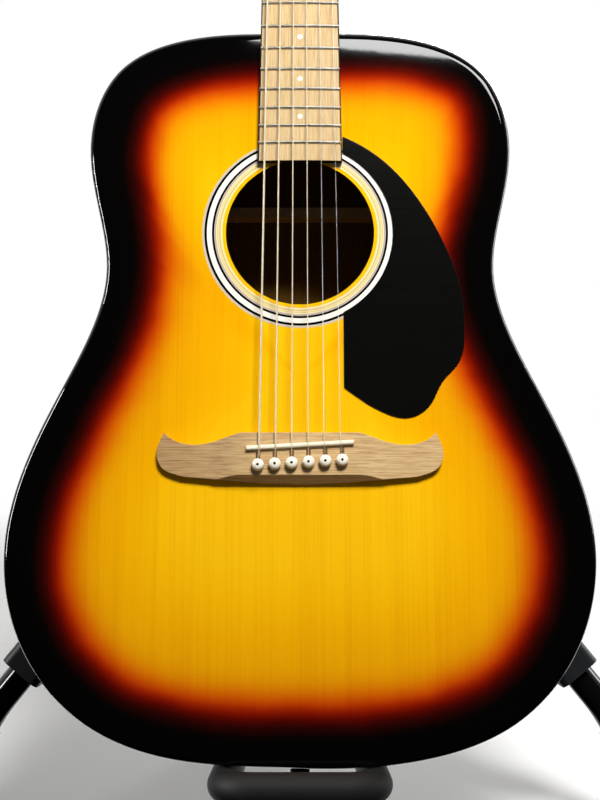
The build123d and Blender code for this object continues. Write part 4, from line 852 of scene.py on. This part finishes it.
# %% Recess shapes
def cross(half_length, half_width):
    """The radius of a cross recess at an angle."""

    def reach(angle, ray):
        run, rise = abs(math.cos(angle)) + 1e-6, abs(math.sin(angle)) + 1e-6
        one_arm = min(half_length / run, half_width / rise)
        other_arm = min(half_length / rise, half_width / run)
        return max(one_arm, other_arm)

    return reach


def hexagon(across_flats):
    """The radius of a six-sided socket at an angle."""
    return lambda angle, ray: across_flats / 2 / math.cos(angle % (math.pi / 3) - math.pi / 6)


# %% Cross-head screws of the machine heads
def cross_screw(top, direction, head_radius, head_height, length, shank_radius):
    """A domed head with a cross recess, and a plain shank."""
    recess = cross(0.6 * head_radius, 0.16 * head_radius)
    rings = [
        (0.65 * head_height, recess),
        (0.05 * head_height, recess),
        (0.10 * head_height, 0.66 * head_radius),
        (0.28 * head_height, 0.86 * head_radius),
        (0.60 * head_height, 0.98 * head_radius),
        (head_height, head_radius),
        (head_height, shank_radius),
        (length, shank_radius),
    ]
    return turned(rings, top, direction)


SCREW_HEAD_HEIGHT, SCREW_SHANK = 1.1, 0.9
screws = []
for points in solids_of("tuner_screws"):
    top, direction, length, head_radius = axis_of(points)
    screws.append(cross_screw(top, direction, head_radius, SCREW_HEAD_HEIGHT, length, SCREW_SHANK))
plate_screws = piece("Plate_Screws", screws, chrome, "guitar")
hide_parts("tuner_screws")

# %% Three small screws hold the truss rod's cover
COVER_THICKNESS, HEAD_PROUD = 1.6, 0.7
COVER_SCREW = {"head_radius": 1.6, "head_height": 0.9, "length": 6.0, "shank_radius": 0.8}
COVER_SCREW_PLACES = [(-8.2, 5.0), (8.2, 5.0), (0.0, 31.0)]
face = turn_head @ Vector((0, 0, 1))
screws = [
    cross_screw(head_place(*spot_mm, COVER_THICKNESS + HEAD_PROUD), face, **COVER_SCREW)
    for spot_mm in COVER_SCREW_PLACES
]
piece("Cover_Screws", screws, chrome, "guitar")

# %% Socket bolts of the stand
BOLT_HEAD_HEIGHT, BOLT_SHANK, SOCKET, SOCKET_DEPTH = 3.0, 2.5, 3.0, 1.9
bolts = []
for points in solids_of("frame_bolts"):
    top, direction, length, head_radius = axis_of(points)
    rings = [
        (SOCKET_DEPTH, hexagon(SOCKET)),
        (0.0, hexagon(SOCKET)),
        (0.0, 0.55 * head_radius),
        (0.25, 0.72 * head_radius),
        (0.8, 0.88 * head_radius),
        (1.7, 0.97 * head_radius),
        (BOLT_HEAD_HEIGHT - 0.2, head_radius),
        (BOLT_HEAD_HEIGHT, 0.98 * head_radius),
        (BOLT_HEAD_HEIGHT, BOLT_SHANK),
        (length, BOLT_SHANK),
    ]
    bolts.append(turned(rings, top, direction, segments=36))
socket_bolts = piece("Socket_Bolts", bolts, zinc_steel, "stand")
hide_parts("frame_bolts")

# %% [markdown]
# ## Worm threads
#
# Each tuning button turns a worm, and the worm's thread walks a fourteen-tooth wheel round by one
# tooth a turn. The solid worm is the plain core. The thread is a ridge swept along a helix whose
# pitch is the wheel's tooth spacing, placed so that two ridges stand beside the tooth that points
# at the worm at rest. It rides with its button, so it turns against the wheel as the real one.

# %% Six threads on the worms
WORM_ROOT, THREAD_TIP, THREAD_PITCH, THREAD_REACH = 2.1, 3.3, 2.40, 4.2
BASE_HALF, TIP_HALF, STEPS_PER_TURN = 0.5, 0.24, 24
BASE_SUNK, END_SUNK, RUN_OUT = 0.15, 0.1, 2.5
towards_nut = turn_head @ Vector((0, -1, 0))
behind = turn_head @ Vector((0, 0, -1))


def thread(centre):
    """A right-hand ridge round a line along X; on the wheel's side it stands half a pitch out."""
    points, faces = [], []
    turns = 2 * THREAD_REACH / THREAD_PITCH
    count = int(turns * STEPS_PER_TURN) + 1
    for number in range(count):
        run = -THREAD_REACH + 2 * THREAD_REACH * number / (count - 1)
        angle = 2 * math.pi * (run / THREAD_PITCH - 0.5)
        ray = towards_nut * math.cos(angle) + behind * math.sin(angle)
        rise = min(1.0, RUN_OUT * min(number, count - 1 - number) / STEPS_PER_TURN)
        tip = WORM_ROOT - END_SUNK + (THREAD_TIP - WORM_ROOT + END_SUNK) * rise
        base = WORM_ROOT - BASE_SUNK
        for half, radius in ((-BASE_HALF, base), (-TIP_HALF, tip), (TIP_HALF, tip), (BASE_HALF, base)):
            points.append(centre + Vector(((run + half) * MM, 0, 0)) + ray * (radius * MM))
    for number in range(count - 1):
        here = 4 * number
        for corner in range(4):
            after = (corner + 1) % 4
            faces.append((here + corner, here + after, here + 4 + after, here + 4 + corner))
    faces.append((3, 2, 1, 0))
    faces.append(tuple(4 * (count - 1) + corner for corner in range(4)))
    return points, faces


joints = {joint["name"]: joint for joint in frame["joints"]}
for number in range(1, 7):
    centre = Vector(joints[f"button_{number}_turn"]["pos_m"])
    piece(f"Worm_Thread_{number}", [thread(centre)], chrome, f"button_{number}")

# %% [markdown]
# ## Foam sleeves behind the back
#
# Two sleeves of soft foam keep the tubes off the lacquer. They are cut from a long extruded hose
# and pushed on tight, so they swell a little between rounded ends and lie flat where the back
# leans on them. The crown and the flat are laid straight into the rings: foam this firm has no
# folds that a cloth simulation would find.

# %% Crowned foam sleeves
PAD_BORE, BORE_CHAMFER = 11.05, 0.8
END_ROUND, CROWN, DIMPLE = 3.5, 0.7, 0.12
PRESSED, SHY = 0.15, 0.05
BORE_LIP, END_LIP = 0.6, 0.15
END_STEPS, LENGTH_STEPS = 6, 12
BACK_DROP = 20.0
back_slope = math.atan(BACK_DROP / BODY_LENGTH)
to_back = turn_out @ Vector((0, -math.sin(back_slope), math.cos(back_slope)))


def foam_reach(radius, phase, pressed_flat):
    """A faintly dimpled radius, flattened where the guitar's back leans on the foam."""

    def reach(angle, ray):
        towards = max(ray.dot(to_back), 0.05)
        dimple = DIMPLE * math.sin(5 * angle + phase) * math.sin(3 * angle - 2 * phase)
        return min(radius + dimple, pressed_flat / towards)

    return reach


def sleeve_rings(length, pad_radius):
    """Rings of a sleeve: the bore, a rounded end, the crowned length and the other end."""
    outside = []
    for number in range(END_STEPS + 1):
        turn = math.pi / 2 * number / END_STEPS
        drawn_in = CROWN + END_ROUND * (1 - math.sin(turn))
        outside.append((END_ROUND * (1 - math.cos(turn)), drawn_in, number))
    for number in range(1, LENGTH_STEPS):
        share = number / LENGTH_STEPS
        depth = END_ROUND + (length - 2 * END_ROUND) * share
        drawn_in = SHY + CROWN * (1 - math.sin(math.pi * share))
        outside.append((depth, drawn_in, END_STEPS + 1 + number))
    for number in range(END_STEPS + 1):
        turn = math.pi / 2 * number / END_STEPS
        depth = length - END_ROUND + END_ROUND * math.sin(turn)
        drawn_in = CROWN + END_ROUND * (1 - math.cos(turn))
        outside.append((depth, drawn_in, END_STEPS + LENGTH_STEPS + 2 + number))
    rings = [(length - BORE_LIP, PAD_BORE), (BORE_LIP, PAD_BORE), (END_LIP, PAD_BORE + BORE_CHAMFER)]
    for depth, drawn_in, phase in outside:
        rings.append((depth, foam_reach(pad_radius - drawn_in, phase, pad_radius - PRESSED)))
    return rings + [(length - END_LIP, PAD_BORE + BORE_CHAMFER)]


sleeves = []
for points in solids_of("back_pads"):
    top, direction, length, pad_radius = axis_of(points)
    sleeves.append(turned(sleeve_rings(length, pad_radius), top, direction, segments=64, hollow=True))
foam_sleeves = piece("Foam_Sleeves", sleeves, foam, "stand")
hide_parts("back_pads")

# %% [markdown]
# ## Studio
#
# A pale floor, a white surround and soft lights. The lacquer is a mirror, so what it reflects
# matters most: the flat top looks at the room behind the camera, which stays dark, and a mirror
# that looks upwards or far behind the object finds white. The floor fades into the surround with
# distance, so no horizon cuts the picture, and it keeps the shadow that sets the object down.
# Mirrors and bounced light miss it, because a pale floor would grey the black from below.

# %% Floor
FLOOR_FADE = (0.8, 1.7)
FLOOR_SIZE = 12.0
bpy.ops.mesh.primitive_plane_add(size=FLOOR_SIZE, location=(0, 1, 0))
floor = bpy.context.object
floor.name = "Studio_Floor"
floor_paint, add = open_finish("Pale_Floor_Paint")
seen = add("TexCoord", get="Object")
trowel = add("TexNoise", seen, {"Scale": 2.5, "Detail": 3.0})
paint = add(
    "BsdfPrincipled",
    {
        "Base Color": add("Mix", {0: trowel, 6: "#e9e8e5", 7: "#f2f1ef"}, get=2, data_type="RGBA"),
        "Roughness": 0.8,
    },
)
room_spot = add("NewGeometry", get="Position")
away = add("VectorMath", room_spot, operation="LENGTH", get="Value")
fade = add("MapRange", away, *FLOOR_FADE, 0.0, 1.0, interpolation_type="SMOOTHSTEP")
fade = add("Math", fade, add("LightPath", get="Is Camera Ray"), operation="MULTIPLY")
add("OutputMaterial", add("MixShader", fade, paint, add("BsdfTransparent")))
floor.data.materials.append(floor_paint)
floor.visible_glossy = False
floor.visible_diffuse = False
print("floor fades from", *FLOOR_FADE, "m")

# %% Surround: white to the camera; to mirrors a dark room in front, white above and far behind
BEHIND, OVERHEAD = (-0.62, 0.3), (-0.1, 0.5)
FAR_BEHIND, NOT_BELOW = (0.35, 0.6), (-0.85, -0.6)
world = bpy.data.worlds.new("Studio")
bpy.context.scene.world = world
world.use_nodes = True
world.node_tree.nodes.clear()
add = partial(put, world.node_tree)
depth, height = (add("SeparateXYZ", add("TexCoord", get="Generated"), get=axis) for axis in (1, 2))
behind, overhead, far_behind, not_below = (
    add("MapRange", way, *reach, 0.0, 1.0, interpolation_type="SMOOTHSTEP")
    for way, reach in ((depth, BEHIND), (height, OVERHEAD), (depth, FAR_BEHIND), (height, NOT_BELOW))
)
white = add("Math", behind, overhead, operation="MULTIPLY")
white = add("Math", far_behind, not_below, white, operation="MULTIPLY_ADD", use_clamp=True)
mirrored = add("Mix", {0: white, 6: "#0a0a0a", 7: "#f4f4f4"}, get=2, data_type="RGBA")
sharp_ray = add(
    "Math",
    add("LightPath", get="Is Glossy Ray"),
    add("LightPath", get="Is Transmission Ray"),
    operation="MAXIMUM",
)
fill = add("Mix", {0: sharp_ray, 6: "#505050", 7: mirrored}, get=2, data_type="RGBA")
direct = add("LightPath", get="Is Camera Ray")
shown = add("Mix", {0: direct, 6: fill, 7: "#ffffff"}, get=2, data_type="RGBA")
add("OutputWorld", add("Background", shown, 1.0))
print("surround ready")

# %% [markdown]
# ## Lights
#
# The pale band on the upper right shoulder is a window, mirrored in the flat lacquer. A mirror
# sends the camera's ray on at the same slant, so the window hangs above and in front of the guitar
# where those rays arrive, and its lower edge draws the band's lower edge. The key is small, for
# crisp shadows under bridge and strings, and mirrors miss it, or it would be a second window. Two
# strips that only mirrors see draw bright lines along tubes and sides, and a large box behind
# lifts the back of the guitar and of the stand out of the dark.


# %% Soft boxes, in metres and watts
def soft_box(name, location, target, size, power, roll=0.0):
    """A rectangular soft light, aimed at a point and rolled by some degrees."""
    lamp = bpy.data.lights.new(name, "AREA")
    lamp.shape = "RECTANGLE"
    lamp.size, lamp.size_y = size
    lamp.energy = power
    made = bpy.data.objects.new(name, lamp)
    made.location = location
    aim = (Vector(target) - Vector(location)).to_track_quat("-Z", "Y").to_matrix()
    made.rotation_euler = (aim @ Matrix.Rotation(math.radians(roll), 3, "Z")).to_euler()
    made.visible_camera = False
    bpy.context.scene.collection.objects.link(made)
    print(name, power, "W")
    return made


WINDOW = (294, 1193, 1200)
KEY_WAY, KEY_DISTANCE = Vector((0.19, -0.58, 0.79)), 1.3
middle = place(0, BODY_MIDDLE, 0)
left_leg = place(-200, 0, -100)
soft_box("Window", place(*WINDOW), place(*WINDOW[:2], 0), (0.75, 0.28), 10.5, roll=-5.5)
key = soft_box("Key_Box", middle + KEY_DISTANCE * KEY_WAY, middle, (0.35, 0.35), 22.0)
key.visible_glossy = False
left_strip = soft_box("Left_Strip", (-1.1, -0.53, 0.6), left_leg, (0.12, 0.6), 7.5)
soft_box("Back_Box", (0.7, 1.5, 1.5), middle, (1.2, 1.0), 30.0)
right_strip = soft_box("Right_Box", (1.6, 0.35, 0.8), middle, (0.4, 1.0), 10.0)
for strip in (left_strip, right_strip):
    strip.visible_diffuse = False

# %% [markdown]
# ## Camera
#
# The body's outline and the fret lines close up towards the neck in the photograph, which tells
# how far away the camera stood and how squarely it faced the board. It looked a little downwards
# with a normal lens: 50 mm over a picture 36 mm tall.

# %% Camera where the photographer stood
PITCH = 3.38
DISTANCE = 0.737
AIM_HEIGHT = 235.7
camera_data = bpy.data.cameras.new("Camera")
camera_data.lens = 50.0
camera_data.sensor_width = 36.0
camera = bpy.data.objects.new("Camera", camera_data)
aim = Vector((0, math.cos(math.radians(PITCH)), -math.sin(math.radians(PITCH))))
camera.location = place(0, AIM_HEIGHT, 0) - aim * DISTANCE
camera.rotation_euler = (math.radians(90 - PITCH), 0, 0)
bpy.context.scene.collection.objects.link(camera)
bpy.context.scene.camera = camera
bpy.context.scene.view_settings.view_transform = "Standard"
print("camera at", tuple(round(c, 3) for c in camera.location))
